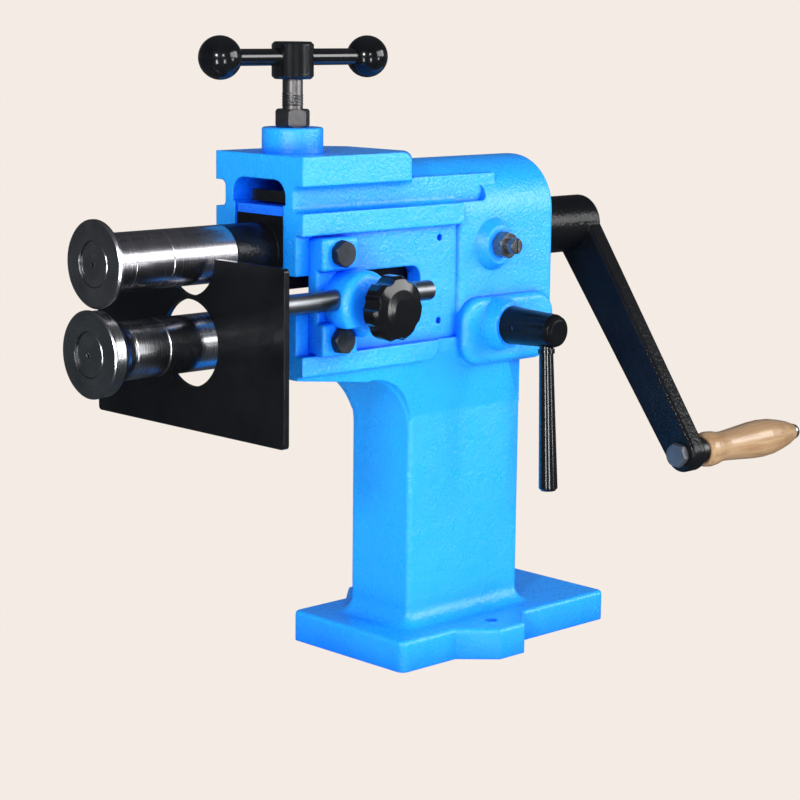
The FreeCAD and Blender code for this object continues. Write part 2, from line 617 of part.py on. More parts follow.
def mirrored(name, solid):
    other = doc.addObject("Part::Mirroring", name + "_mirror")
    other.Source = solid
    other.Base = Vector(0, 0, 0)
    other.Normal = Vector(1, 0, 0)
    return other


def pivot_fittings():
    node("pivot_screws", group("pivot_screw_pair", [locating_screw("pivot_a", 1),
                                                    locating_screw("pivot_b", -1)]))
    nuts = []
    for name in ("pivot_nut_a", "pivot_nut_b"):
        nuts.append(chamfered_nut(name, "X", "pivot_nut_flats", "pivot_screw", "boss_face",
                                  "boss_face + pivot_nut_thick", ("pivot_place", "pivot_high"), "12"))
    node("pivot_nuts", group("pivot_nut_pair", [nuts[0], mirrored("pivot_nut_b", nuts[1])]))


def rocker():
    block = box("rocker_block", ("-rocker_half", "rocker_half"), ("-rocker_front", "rocker_rear"),
                ("rocker_low", "rocker_high"))
    block = rounded("rocker_edges", block,
                    lambda edge: runs_along(edge, "Y") and edge.CenterOfMass.z < size("rocker_high") - 1,
                    size("rocker_chamfer"))
    nose = turned("rocker_nose", "Y", ring("shaft_radius", "nose_radius", "-nose_end", "-rocker_front + 2"),
                  ("0", UP))
    bores = [
        rod("rocker_front_bore", "Y", "shaft_radius + bush_wall", "-nose_end - 1", "-front_bush_end",
            ("0", UP)),
        rod("rocker_middle_bore", "Y", "shaft_radius + oil_space", "-nose_end - 1", "rocker_rear + 1",
            ("0", UP)),
        rod("rocker_rear_bore", "Y", "shaft_radius + bush_wall", "rocker_rear - rear_bush_length",
            "rocker_rear + 1", ("0", UP)),
        rod("rocker_dog_holes", "X", "pivot_dog + run_gap", "-rocker_half - 1",
            "-rocker_half + pivot_dog_long + rest_gap", ("pivot_place", "pivot_high")),
        rod("rocker_dog_holes_right", "X", "pivot_dog + run_gap",
            "rocker_half - pivot_dog_long - rest_gap", "rocker_half + 1", ("pivot_place", "pivot_high")),
        rod("spring_seat", "Z", "spring_radius + spring_wire + spring_pocket_gap", "rocker_low - 1",
            "rocker_low + spring_pocket", ("0", "-spring_place")),
    ]
    taps = [rod(f"plate_tap_{i}", "Z", "plate_screw", "rocker_high - 4", "rocker_high + 1", spot)
            for i, spot in enumerate(plate_screw_spots())]
    node("rocker_arm", cut("rocker", fuse("rocker_whole", [block, nose]), bores + taps))


def plate_screw_spots():
    side = "rocker_half - 7"
    return [(f"-({side})", "-plate_end - 7"), (side, "-plate_end - 7")]


def pressure_plate():
    plate = box("plate_block", ("-rocker_half", "rocker_half"), ("-rocker_front", "-plate_end"),
                ("rocker_high", "rocker_high + plate_thick"))
    top = "rocker_high + plate_thick"
    sinks = []
    screws = []
    for i, spot in enumerate(plate_screw_spots()):
        sinks += [rod(f"plate_hole_{i}", "Z", "plate_screw", "rocker_high - 1", f"{top} + 1", spot),
                  cone(f"plate_sink_{i}", "Z", "plate_screw", "plate_screw * 2", f"{top} - 3", top, spot)]
        screws.append(turned(f"plate_screw_{i}", "Z",
                             [("0", "rocker_high - 4"), ("plate_screw", "rocker_high - 4"),
                              ("plate_screw", f"{top} - 3"), ("plate_screw * 2", top), ("0", top)], spot))
    node("pressure_plate", cut("plate", plate, sinks))
    node("plate_screws", group("plate_screw_pair", screws))


def bush(label, start, end, high, wall):
    node(label, turned(label + "_turned", "Y", ring("shaft_radius + run_gap", wall, start, end),
                       ("0", high)))


def upper_bushes():
    wall = "shaft_radius + bush_wall"
    bush("upper_front_bush", "-nose_end", "-front_bush_end", UP, wall)
    bush("upper_rear_bush", "rocker_rear - rear_bush_length", "rocker_rear", UP, wall)


def key_slot(name, start, long, radius, high):
    """A key's space: half its height is in the shaft of the given radius."""
    return box(name, ("-key_wide / 2", "key_wide / 2"), (start, f"{start} + {long}"),
               (f"{high} + {radius} - key_high / 2", f"{high} + {radius} + key_high / 2 - 0.5"))


def shaft_nose(face, high, name):
    """Cuts for the roll screw's tapped hole and the roll key at a shaft's front end."""
    seat = f"-{face} + head_thick"
    return [rod(name + "_tap", "Y", "roll_screw", f"{seat} - 1", f"{seat} + roll_screw_long", ("0", high)),
            key_slot(name + "_key_seat", f"{seat} + 1", "roll_key_long", "seat_radius", high)]


def upper_shaft():
    seat = "-upper_face + head_thick"
    profile = [("0", seat), ("seat_radius", seat), ("seat_radius", "-upper_collar_end"),
               ("shaft_radius", "-upper_collar_end"), ("shaft_radius", "crank_hub_start"),
               ("seat_radius", "crank_hub_start"), ("seat_radius", "upper_shaft_end"),
               ("0", "upper_shaft_end")]
    blank = turned("upper_shaft_turned", "Y", profile, ("0", UP))
    cuts = shaft_nose("upper_face", UP, "upper_nose")
    cuts += [key_slot("upper_gear_seat", "gear_start + 3", "gear_key_long", "shaft_radius", UP),
             key_slot("crank_key_seat", "crank_face - 20", "30", "seat_radius", UP),
             rod("crank_screw_tap", "Y", "crank_screw", "upper_shaft_end - crank_screw_long",
                 "upper_shaft_end + 1", ("0", UP))]
    node("upper_shaft", cut("upper_shaft_cut", blank, cuts))


def lower_shaft():
    seat = "-lower_face + head_thick"
    profile = [("0", seat), ("seat_radius", seat), ("seat_radius", "-lower_collar_end"),
               ("shaft_radius", "-lower_collar_end"), ("shaft_radius", "lower_shaft_end"),
               ("0", "lower_shaft_end")]
    blank = turned("lower_shaft_turned", "Y", profile, ("0", LOW))
    cuts = shaft_nose("lower_face", LOW, "lower_nose")
    cuts += [key_slot("lower_gear_seat", "gear_start + 3", "gear_key_long", "shaft_radius", LOW)]
    node("lower_shaft", cut("lower_shaft_cut", blank, cuts))


def roll_screw(label, face, high):
    """A flush round head with a half-moon step and a centre hole, on a threaded shank."""
    blank = turned(label + "_turned", "Y",
                   [("0", f"-{face}"), ("head_radius - edge", f"-{face}"),
                    ("head_radius", f"-{face} + edge"), ("head_radius", f"-{face} + head_thick"),
                    ("roll_screw", f"-{face} + head_thick"),
                    ("roll_screw", f"-{face} + roll_screw_long"), ("0", f"-{face} + roll_screw_long")],
                   ("0", high))
    centre = rod(label + "_centre", "Y", "centre_hole", f"-{face} - 1", f"-{face} + 3.5", ("0", high))
    step = doc.addObject("Part::Box", label + "_step")
    step.setExpression("Length", bound("head_radius * 2"))
    step.setExpression("Width", bound("head_step + 1"))
    step.setExpression("Height", bound("head_radius"))
    step.Placement = Placement(Vector(), Rotation(Vector(0, 1, 0), -50))
    slope = math.radians(50)
    shift_x = f"-head_radius * {math.cos(slope):.6f} - head_chord * {math.sin(slope):.6f}"
    shift_z = f"-head_radius * {math.sin(slope):.6f} + head_chord * {math.cos(slope):.6f}"
    place(step, shift_x, f"-{face} - 1", f"{high} + {shift_z}")
    node(label, cut(label + "_cut", blank, [centre, step]))


def upper_roll():
    bore = "seat_radius + run_gap"
    face = "-upper_face"
    profile = [("head_radius + rest_gap", face), ("upper_disc - 1.4", face),
               ("upper_disc", f"{face} + upper_disc_rim"), ("upper_disc", f"{face} + upper_disc_rim * 2"),
               ("collar_radius + 1.2", "-upper_disc_back"), ("collar_radius + 1.2", "-upper_disc_back + 1.5"),
               ("collar_radius", "-upper_disc_back + 2.4"), ("collar_radius", "-upper_roll_end"),
               (bore, "-upper_roll_end"), (bore, f"{face} + head_thick"),
               ("head_radius + rest_gap", f"{face} + head_thick")]
    blank = turned("upper_roll_turned", "Y", profile, ("0", UP))
    keyway = key_slot("upper_roll_keyway", "-upper_face + head_thick - 1",
                      "upper_face - head_thick - upper_roll_end + 2",
                      "seat_radius", UP)
    node("upper_roll", cut("upper_roll_cut", blank, [keyway]))


def lower_roll():
    bore = "seat_radius + run_gap"
    face = "-lower_face"
    groove = f"{face} + lower_rim"
    profile = [("head_radius + rest_gap", face), ("lower_disc - 1", face), ("lower_disc", f"{face} + 1"),
               ("lower_disc", groove), ("lower_disc - 2", f"{groove} + lower_groove / 2"),
               ("lower_second", f"{groove} + lower_groove"), ("lower_second", "-lower_second_end"),
               ("lower_second - 3.4", "-lower_second_end + 3"), ("lower_second - 5.6",
                                                                 "-lower_second_end + 6.2"),
               ("lower_second - 7.6", "-lower_second_end + 10"), ("collar_radius",
                                                                  "-lower_roll_end - lower_neck_long"),
               ("collar_radius", "-lower_roll_end"), (bore, "-lower_roll_end"),
               (bore, f"{face} + head_thick"), ("head_radius + rest_gap", f"{face} + head_thick")]
    blank = turned("lower_roll_turned", "Y", profile, ("0", LOW))
    keyway = key_slot("lower_roll_keyway", "-lower_face + head_thick - 1",
                      "lower_face - head_thick - lower_roll_end + 2",
                      "seat_radius", LOW)
    node("lower_roll", cut("lower_roll_cut", blank, [keyway]))


def collar(label, start, end, high):
    """A plain spacer collar on the roll seat, its outer edges broken."""
    bore = "seat_radius + run_gap"
    node(label, turned(label + "_turned", "Y",
                       [(bore, start), ("collar_radius - edge", start), ("collar_radius", f"{start} + edge"),
                        ("collar_radius", f"{end} - edge"), ("collar_radius - edge", end), (bore, end)],
                       ("0", high)))


def collars():
    collar("upper_spacer", "-upper_roll_end", "-upper_spacer_end", UP)
    collar("upper_collar", "-upper_spacer_end", "-upper_collar_end", UP)
    collar("lower_spacer", "-lower_roll_end", "-lower_spacer_end", LOW)
    collar("lower_collar", "-lower_spacer_end", "-lower_collar_end", LOW)


def key(label, start, long, radius, high):
    node(label, key_slot(label + "_block", start, long, radius, high))


def keys():
    key("upper_roll_key", "-upper_face + head_thick + 1", "roll_key_long", "seat_radius", UP)
    key("lower_roll_key", "-lower_face + head_thick + 1", "roll_key_long", "seat_radius", LOW)
    key("upper_gear_key", "gear_start + 3", "gear_key_long", "shaft_radius", UP)
    key("lower_gear_key", "gear_start + 3", "gear_key_long", "shaft_radius", LOW)
    key("crank_key", "crank_face - 20", "30", "seat_radius", UP)


def involute(angle):
    return math.tan(angle) - angle


def gear_face(turn):
    """The toothed outline in the XZ plane: involute flanks as arcs, 20 degree pressure angle."""
    module, teeth = size("gear_module"), int(size("gear_teeth"))
    pitch = module * teeth / 2
    pressure = math.radians(size("pressure_angle"))
    base = pitch * math.cos(pressure)
    tip = pitch + module * size("tooth_top")
    foot = pitch - module * size("tooth_foot")
    half = math.pi / (2 * teeth) - size("backlash") / (4 * pitch)

    def spot(radius, side, tooth):
        bend = involute(math.acos(min(1.0, base / max(radius, base))))
        angle = turn + 2 * math.pi * tooth / teeth + side * (half + involute(pressure) - bend)
        return Vector(radius * math.cos(angle), 0, radius * math.sin(angle))

    def middle(first, last, radius):
        both = first + last
        return both.multiply(radius / both.Length)

    edges = []
    for tooth in range(teeth):
        rise = [spot(radius, -1, tooth) for radius in (foot, (foot + tip) / 2, tip)]
        fall = [spot(radius, 1, tooth) for radius in (tip, (foot + tip) / 2, foot)]
        following = spot(foot, -1, tooth + 1)
        edges.append(Part.Arc(*rise).toShape())
        edges.append(Part.Arc(rise[2], middle(rise[2], fall[0], tip), fall[0]).toShape())
        edges.append(Part.Arc(*fall).toShape())
        edges.append(Part.Arc(fall[2], middle(fall[2], following, foot), following).toShape())
    return Part.Face(Part.Wire(edges))


def gear(label, turn, start, wide, high):
    blank = doc.addObject("Part::Feature", label + "_teeth")
    blank.Shape = gear_face(turn).extrude(Vector(0, wide, 0))
    place(blank, "0", start, high)
    bore = rod(label + "_bore", "Y", "shaft_radius", f"{start} - 1", f"{start} + {wide} + 1", ("0", high))
    keyway = key_slot(label + "_keyway", f"{start} - 1", f"{wide} + 2", "shaft_radius", high)
    node(label, cut(label + "_cut", blank, [bore, keyway]))


def gears():
    half_pitch = math.pi / size("gear_teeth")
    wide = size("upper_gear_wide")
    gear("upper_gear", math.pi / 2, "gear_start", wide, UP)
    gear("lower_gear", math.pi / 2 + half_pitch, "gear_start - shift_travel",
         wide + 2 * size("shift_travel"), LOW)


def lower_bearing():
    """The black sleeve pressed into the lower arm's front, and its bush."""
    blank = turned("lower_sleeve_turned", "Y",
                   [("shaft_radius + bush_wall - 1", "-lower_nose_end"),
                    ("nose_radius", "-lower_nose_end"), ("nose_radius", "-head_front"),
                    ("arm_bore_wall", "-head_front"), ("arm_bore_wall", "-lower_sleeve_end"),
                    ("shaft_radius + bush_wall - 1", "-lower_sleeve_end")], ("0", LOW))
    node("lower_bearing_sleeve", blank)
    bush("lower_front_bush", "-lower_nose_end", "-lower_sleeve_end", LOW, "shaft_radius + bush_wall - 1")


def shift_sleeve():
    """The sliding sleeve that carries the lower shaft's rear end and takes the shift pin."""
    blank = turned("shift_sleeve_turned", "Y",
                   ring("shaft_radius + run_gap", "sleeve_radius", "sleeve_front", "sleeve_rear"), ("0", LOW))
    slot = box("shift_sleeve_slot", ("sleeve_radius - shift_pin_reach - rest_gap", "sleeve_radius + 1"),
               ("lever_place - shift_pin - shift_slack", "lever_place + shift_pin + shift_slack"),
               (f"{LOW} - shift_pin - 2", f"{LOW} + shift_pin + 1"))
    node("shift_sleeve", cut("shift_sleeve_cut", blank, [slot]))
    gear_end = "gear_start + upper_gear_wide + shift_travel"
    spans = (("sleeve_front - ring_thick", "sleeve_front"), ("sleeve_rear", "gear_start - shift_travel"),
             (gear_end, f"{gear_end} + ring_thick"))
    rings = [turned(f"lower_ring_{i}", "Y", ring("shaft_radius", "ring_radius", *span), ("0", LOW))
             for i, span in enumerate(spans)]
    node("lower_shaft_rings", group("lower_ring_set", rings))


def upper_rings():
    """The distance ring before the upper gear and the retaining ring behind it."""
    gear_end = "gear_start + upper_gear_wide"
    spans = (("rocker_rear + rest_gap", "gear_start"), (gear_end, f"{gear_end} + ring_thick"))
    rings = [turned(f"upper_ring_{i}", "Y", ring("shaft_radius", "ring_radius", *span), ("0", UP))
             for i, span in enumerate(spans)]
    node("upper_shaft_rings", group("upper_ring_set", rings))


def shift_lever():
    high = LEVER_HIGH
    shaft = turned("eccentric_turned", "X",
                   [("0", "sleeve_radius + rest_gap"), ("eccentric_radius", "sleeve_radius + rest_gap"),
                    ("eccentric_radius", "lever_boss_face"), ("hub_spigot", "lever_boss_face"),
                    ("hub_spigot", "hub_spigot_end"), ("0", "hub_spigot_end")], ("lever_place", high))
    pin = rod("eccentric_pin", "X", "shift_pin", "sleeve_radius - shift_pin_reach",
              "sleeve_radius + rest_gap + 1", ("lever_place", LOW))
    cross = rod("eccentric_cross", "Y", "hub_pin", "lever_place - 20", "lever_place + 20",
                ("hub_pin_place", high))
    node("eccentric_shaft", cut("eccentric_cut", fuse("eccentric_whole", [shaft, pin]), [cross]))
    hub = turned("hub_turned", "X",
                 [("hub_spigot", "lever_boss_face + rest_gap"), ("hub_root", "lever_boss_face + rest_gap"),
                  ("hub_tip", "hub_end - hub_round"), ("hub_tip - 1.2", "hub_end - 1.8"),
                  ("hub_tip - hub_round + 1", "hub_end"), ("0", "hub_end"),
                  ("0", "hub_spigot_end"), ("hub_spigot", "hub_spigot_end")], ("lever_place", high))
    cross_hub = rod("hub_cross", "Y", "hub_pin", "lever_place - 20", "lever_place + 20",
                    ("hub_pin_place", high))
    node("lever_hub", cut("hub_cut", hub, [cross_hub, rod_hole()]))
    node("lever_hub_pin", rod("lever_pin", "Y", "hub_pin", "lever_place - hub_root + 1.2",
                              "lever_place + hub_root - 1.2", ("hub_pin_place", high)))
    nut = "hub_tip + 1.8"
    lean_on("lever_rod", [("0", "-3"), ("rod_top", "-3"), ("rod_top", f"{nut} + rod_nut_thick"),
                          ("rod_bottom", f"{high} - rod_low - 2"), ("rod_bottom - 1.8", f"{high} - rod_low"),
                          ("0", f"{high} - rod_low")])
    lean_on("lever_rod_nut", ring("rod_top", "rod_nut", nut, f"{nut} + rod_nut_thick"))


def leaning(body):
    """Set a solid whose axis hangs from the lever's hub and leans outwards."""
    down = Rotation(Vector(0, 1, 0), 180 - size("rod_lean"))
    body.Placement = Placement(Vector(), down)
    place(body, "rod_place", "lever_place", LEVER_HIGH)
    return body


def rod_hole():
    """The hub's socket, on the same leaning axis as the rod."""
    deep = "hub_root + 4"
    return leaning(turned("rod_socket", "Z", [("0", "-3"), ("rod_top", "-3"), ("rod_top", deep),
                                              ("0", deep)]))


def lean_on(label, profile):
    node(label, leaning(turned(label + "_turned", "Z", profile)))


def pressure_screw():
    at = ("0", "-screw_place")
    screw_end = TBAR_HIGH + " - tbar_radius - 1"
    head_low = TBAR_HIGH + " - thead_under"
    head_high = TBAR_HIGH + " + thead_over"
    pin_high = TBAR_HIGH + " - thead_pin_drop"
    plate_top = "rocker_high + plate_thick"
    low = f"{plate_top} + rest_gap"
    top = f"{low} + pad_thick"
    block = box("thrust_block", ("-pad_side", "pad_side"),
                ("-screw_place - pad_long / 2", "-screw_place + pad_long / 2"),
                (f"{low} + pad_foot", top))
    block = rounded("thrust_block_corners", block, lambda edge: runs_along(edge, "Z"), 2.0)
    foot = rod("thrust_foot", "Z", "pad_radius", low, f"{low} + pad_foot + 1", at)
    seat = rod("thrust_seat", "Z", "tip_radius + run_gap", f"{top} - tip_long", f"{top} + 1", at)
    node("thrust_pad", cut("thrust_pad_cut", fuse("thrust_pad_whole", [block, foot]), [seat]))
    screw = turned("t_screw_turned", "Z",
                   [("0", f"{top} - tip_long + run_gap"), ("tip_radius", f"{top} - tip_long + run_gap"),
                    ("tip_radius", f"{top} + rest_gap"), ("thread_radius - 1", f"{top} + rest_gap"),
                    ("thread_radius", f"{top} + rest_gap + 1"),
                    ("thread_radius", "screw_plain_start"), ("thread_radius", screw_end),
                    ("0", screw_end)], at)
    cross = rod("t_screw_cross", "X", "thead_pin", "-20", "20", ("-screw_place", pin_high))
    node("t_screw", cut("t_screw_cut", screw, [cross]))
    head = turned("t_head_turned", "Z",
                  [("thread_radius", head_low), ("thead_radius - thead_chamfer", head_low),
                   ("thead_radius", f"{head_low} + thead_chamfer"),
                   ("thead_radius", f"{head_high} - thead_chamfer"),
                   ("thead_radius - thead_chamfer", head_high), ("0", head_high),
                   ("0", screw_end), ("thread_radius", screw_end)], at)
    cuts = [rod("t_head_cross", "Y", "tbar_radius", "-screw_place - 30", "-screw_place + 30",
                ("0", TBAR_HIGH)),
            rod("t_head_pin_hole", "X", "thead_pin", "-20", "20", ("-screw_place", pin_high))]
    node("t_handle_hub", cut("t_head_cut", head, cuts))
    node("t_handle_pin", rod("t_pin", "X", "thead_pin", "-thead_radius + edge", "thead_radius - edge",
                             ("-screw_place", pin_high)))
    node("t_handle_bar", rod("t_bar", "Y", "tbar_radius",
                             "-screw_place - tbar_half + tbar_shift - ball_seat + 4",
                             "-screw_place + tbar_half + tbar_shift + ball_seat - 4", ("0", TBAR_HIGH)))
    balls = [ball(name, side) for name, side in (("ball_front", "-tbar_half"), ("ball_rear", "tbar_half"))]
    node("t_handle_balls", group("ball_pair", balls))
    nut = chamfered_nut("lock_nut_shape", "Z", "nut_flats", "thread_radius + run_gap", "top_boss_high",
                        "top_boss_high + nut_thick", at, "nut_turn")
    node("lock_nut", nut)


def ball(name, side):
    whole = doc.addObject("Part::Sphere", name + "_whole")
    whole.setExpression("Radius", bound("ball_radius"))
    place(whole, "0", f"-screw_place + tbar_shift + {side}", TBAR_HIGH)
    hole = rod(name + "_hole", "Y", "tbar_radius", "-screw_place - tbar_half + tbar_shift - ball_seat + 4",
               "-screw_place + tbar_half + tbar_shift + ball_seat - 4", ("0", TBAR_HIGH))
    return cut(name, whole, [hole])


def crank_tip_at():
    """Where the grip's axis crosses the arm: X and Z formulas."""
    lean = size("crank_lean")
    return (f"crank_reach * sin({lean})", f"{UP} - crank_reach * cos({lean})")


def crank():
    tip_x, tip_z = crank_tip_at()
    face, back = "crank_face", "crank_face + crank_thick"
    body = doc.addObject("PartDesign::Body", "crank_blade")
    sketch = sketch_on(body, "XY")
    taper = "(crank_root - crank_tip) / crank_reach"
    outline(sketch, [("-crank_root", "0"), ("crank_root", "0"),
                     ("crank_tip", f"crank_reach + crank_tip * {taper}"),
                     ("-crank_tip", f"crank_reach + crank_tip * {taper}")])
    pad = body.newObject("PartDesign::Pad", "crank_blade_pad")
    pad.Profile = sketch
    pad.setExpression("Length", bound("crank_thick"))
    lie = Rotation(Vector(1, 0, 0), -90)
    body.Placement = Placement(Vector(), Rotation(Vector(0, 1, 0), -size("crank_lean")).multiply(lie))
    place(body, "0", face, UP)
    tip = rod("crank_tip_end", "Y", "crank_tip", face, back, (tip_x, tip_z))
    blade = fuse("crank_blade_whole", [body, tip])
    faces = [size("crank_face"), size("crank_face") + size("crank_thick")]
    centre = size("axis_low") + size("axis_gap")

    def rim(edge):
        flat = edge.BoundBox.YLength < 1e-3 and min(abs(edge.BoundBox.YMin - y) for y in faces) < 1e-3
        middle = edge.CenterOfMass
        return flat and math.hypot(middle.x, middle.z - centre) > size("crank_root")
    blade = rounded("crank_blade_soft", blade, rim, size("crank_edge"))
    hub = rod("crank_hub_rod", "Y", "crank_hub", "crank_hub_start", back, ("0", UP))
    hub = rounded("crank_hub_soft", hub, lambda edge: edge.Curve.TypeId == "Part::GeomCircle",
                  size("crank_edge"))
    cuts = [rod("crank_bore", "Y", "seat_radius", "crank_hub_start - 1", f"{back} + 1", ("0", UP)),
            key_slot("crank_keyway", "crank_face - 20", "50", "seat_radius", UP),
            rod("grip_bolt_hole", "Y", "grip_bolt", f"{face} - 1", f"{back} + 1", (tip_x, tip_z))]
    node("crank_arm", cut("crank_cut", fuse("crank_whole", [blade, hub]), cuts))


def crank_fixings():
    tip_x, tip_z = crank_tip_at()
    face, back = "crank_face", "crank_face + crank_thick"
    top = f"{back} + washer_thick"
    node("crank_washer", turned("crank_washer_turned", "Y", ring("crank_screw", "washer_radius", back, top),
                                ("0", UP)))
    head = hexagon("crank_screw_hex", "Y", "crank_screw_head * 2", top, f"{top} + crank_screw_high",
                   ("0", UP), "0")
    shank = rod("crank_screw_shank", "Y", "crank_screw", "upper_shaft_end - crank_screw_long + 2",
                f"{top} + 1", ("0", UP))
    node("crank_screw", fuse("crank_screw_whole", [head, shank]))
    at = (tip_x, tip_z)
    bolt_head = chamfered_nut("grip_bolt_hex", "Y", "grip_bolt_flats", None, f"{face} - grip_bolt_head",
                              face, at, "10")
    spindle = rod("grip_spindle", "Y", "grip_bolt", f"{face} - 1",
                  f"{back} + grip_nut_thick + grip_long + rest_gap * 2 + cap_long - 3", at)
    node("grip_bolt", fuse("grip_bolt_whole", [bolt_head, spindle]))
    node("grip_nut", turned("grip_nut_turned", "Y",
                            [("grip_bolt", back), ("grip_nut_radius + 1.5", back),
                             ("grip_nut_radius + 1.5", f"{back} + 2"), ("grip_nut_radius", f"{back} + 3"),
                             ("grip_nut_radius", f"{back} + grip_nut_thick"),
                             ("grip_bolt", f"{back} + grip_nut_thick")], at))
    start = f"{back} + grip_nut_thick + rest_gap"
    bore = "grip_bolt + grip_clear"
    grip = [(bore, start), ("grip_bead - 2.2", start), ("grip_bead - 0.6", f"{start} + 3"),
            ("grip_bead", f"{start} + 8"), ("grip_bead - 0.5", f"{start} + 14"),
            ("grip_neck + 0.5", f"{start} + 20"), ("grip_neck", f"{start} + 26"),
            ("grip_neck + 0.5", f"{start} + 34"), ("grip_belly - 1.6", f"{start} + 50"),
            ("grip_belly - 0.4", f"{start} + 64"), ("grip_belly", f"{start} + 76"),
            ("grip_belly - 0.7", f"{start} + 88"), ("grip_belly - 2.8", f"{start} + 100"),
            ("grip_end + 2.6", f"{start} + 110"), ("grip_end", f"{start} + grip_long"),
            (bore, f"{start} + grip_long")]
    node("wooden_grip", turned("grip_turned", "Y", grip, at))
    end = f"{start} + grip_long + rest_gap"
    node("grip_cap", turned("grip_cap_turned", "Y",
                            [("grip_bolt", end), ("cap_radius", end), ("cap_radius", f"{end} + 2.5"),
                             ("cap_radius * 0.87", f"{end} + cap_long - 4"),
                             ("cap_radius * 0.6", f"{end} + cap_long - 1.6"),
                             ("cap_radius * 0.25", f"{end} + cap_long"),
                             ("0", f"{end} + cap_long"), ("0", f"{end} + cap_long - 3"),
                             ("grip_bolt", f"{end} + cap_long - 3")], at))


def fence():
    plate = box("fence_block", ("-fence_left", "fence_right"), ("-fence_front", "-fence_front + fence_thick"),
                ("fence_low", "fence_high"))
    plate = rounded("fence_corners", plate, lambda edge: runs_along(edge, "Y"), size("fence_corner"))
    face = ("-fence_front - 1", "-fence_front + fence_thick + 1")
    cuts = [rod("fence_hole_cut", "Y", "fence_hole", *face, ("0", LOW)),
            rod("fence_notch_cut", "Y", "fence_notch", *face, ("0", UP)),
            rod("fence_spigot_seat", "Y", "bar_spigot", "-fence_front + fence_thick - bar_spigot_long",
                face[1], ("bar_place", "bar_high"))]
    node("fence_plate", cut("fence_cut", plate, cuts))
    back = "-fence_front + fence_thick"
    node("guide_bar", turned("guide_bar_turned", "Y",
                             [("0", f"{back} - bar_spigot_long"), ("bar_spigot", f"{back} - bar_spigot_long"),
                              ("bar_spigot", back), ("bar_radius", back),
                              ("bar_radius", "-bar_end - bar_edge"),
                              ("bar_radius - bar_edge", "-bar_end"), ("0", "-bar_end")],
                             ("bar_place", "bar_high")))


def fence_bracket():
    span = ("-bracket_front", "-bracket_rear")
    parts = [box("bracket_plate", ("pad_half", "bracket_face"), span, (BRACKET_LOW, "bracket_high")),
             box("bracket_pad_high", ("pad_half", "bracket_pad"), span,
                 ("bracket_high - pad_tall", "bracket_high")),
             box("bracket_pad_low", ("pad_half", "bracket_pad"), span,
                 (BRACKET_LOW, BRACKET_LOW + " + pad_tall"))]
    parts = [rounded(part.Name + "_soft", part,
                     lambda edge: runs_along(edge, "X") or edge.CenterOfMass.x > size("bracket_face") - 0.5,
                     size("bracket_edge")) for part in parts]
    boss = rod("bracket_boss_rod", "X", "bracket_boss", "pad_half", "bracket_boss_face",
               ("-knob_place", "knob_high"))
    outer = size("bracket_boss_face")
    boss = rounded("bracket_boss_soft", boss, lambda edge: edge.BoundBox.XMin > outer - 1, 6.0)
    at = ("bar_place", "bar_high")
    cuts = [rod("bracket_bar_hole", "Y", "bar_radius + run_gap", "-bracket_front - 10",
                "-bracket_rear + 40", at),
            rod("bracket_stud_hole", "X", "stud_radius + run_gap", "bar_place", "bracket_boss_face + 1",
                ("-knob_place", "knob_high"))]
    cuts += [rod(f"bracket_bolt_hole_{i}", "X", "bolt_radius", "pad_half - 1", "bracket_pad + 1",
                 ("-bolt_place", high))
             for i, high in enumerate(("bolt_high", "bolt_low"))]
    cuts += [rod(f"bracket_spot_face_{i}", "X", "bolt_flats / sqrt(3) + side_gap", "bracket_pad",
                 "bracket_boss_face + 1", ("-bolt_place", high))
             for i, high in enumerate(("bolt_high", "bolt_low"))]
    node("fence_bracket", cut("bracket_cut", fuse("bracket_whole", parts + [boss]), cuts))
    bolts = []
    for i, (high, turn) in enumerate((("bolt_high", "8"), ("bolt_low", "22"))):
        at = ("-bolt_place", high)
        head = chamfered_nut(f"bracket_bolt_head_{i}", "X", "bolt_flats", None, "bracket_pad",
                             "bracket_pad + bolt_head", at, turn)
        shank = rod(f"bracket_bolt_shank_{i}", "X", "bolt_radius", "pad_half - bolt_deep + 1",
                    "bracket_pad + 1", at)
        bolts.append(fuse(f"bracket_bolt_{i}", [head, shank]))
    node("bracket_bolts", group("bracket_bolt_pair", bolts))


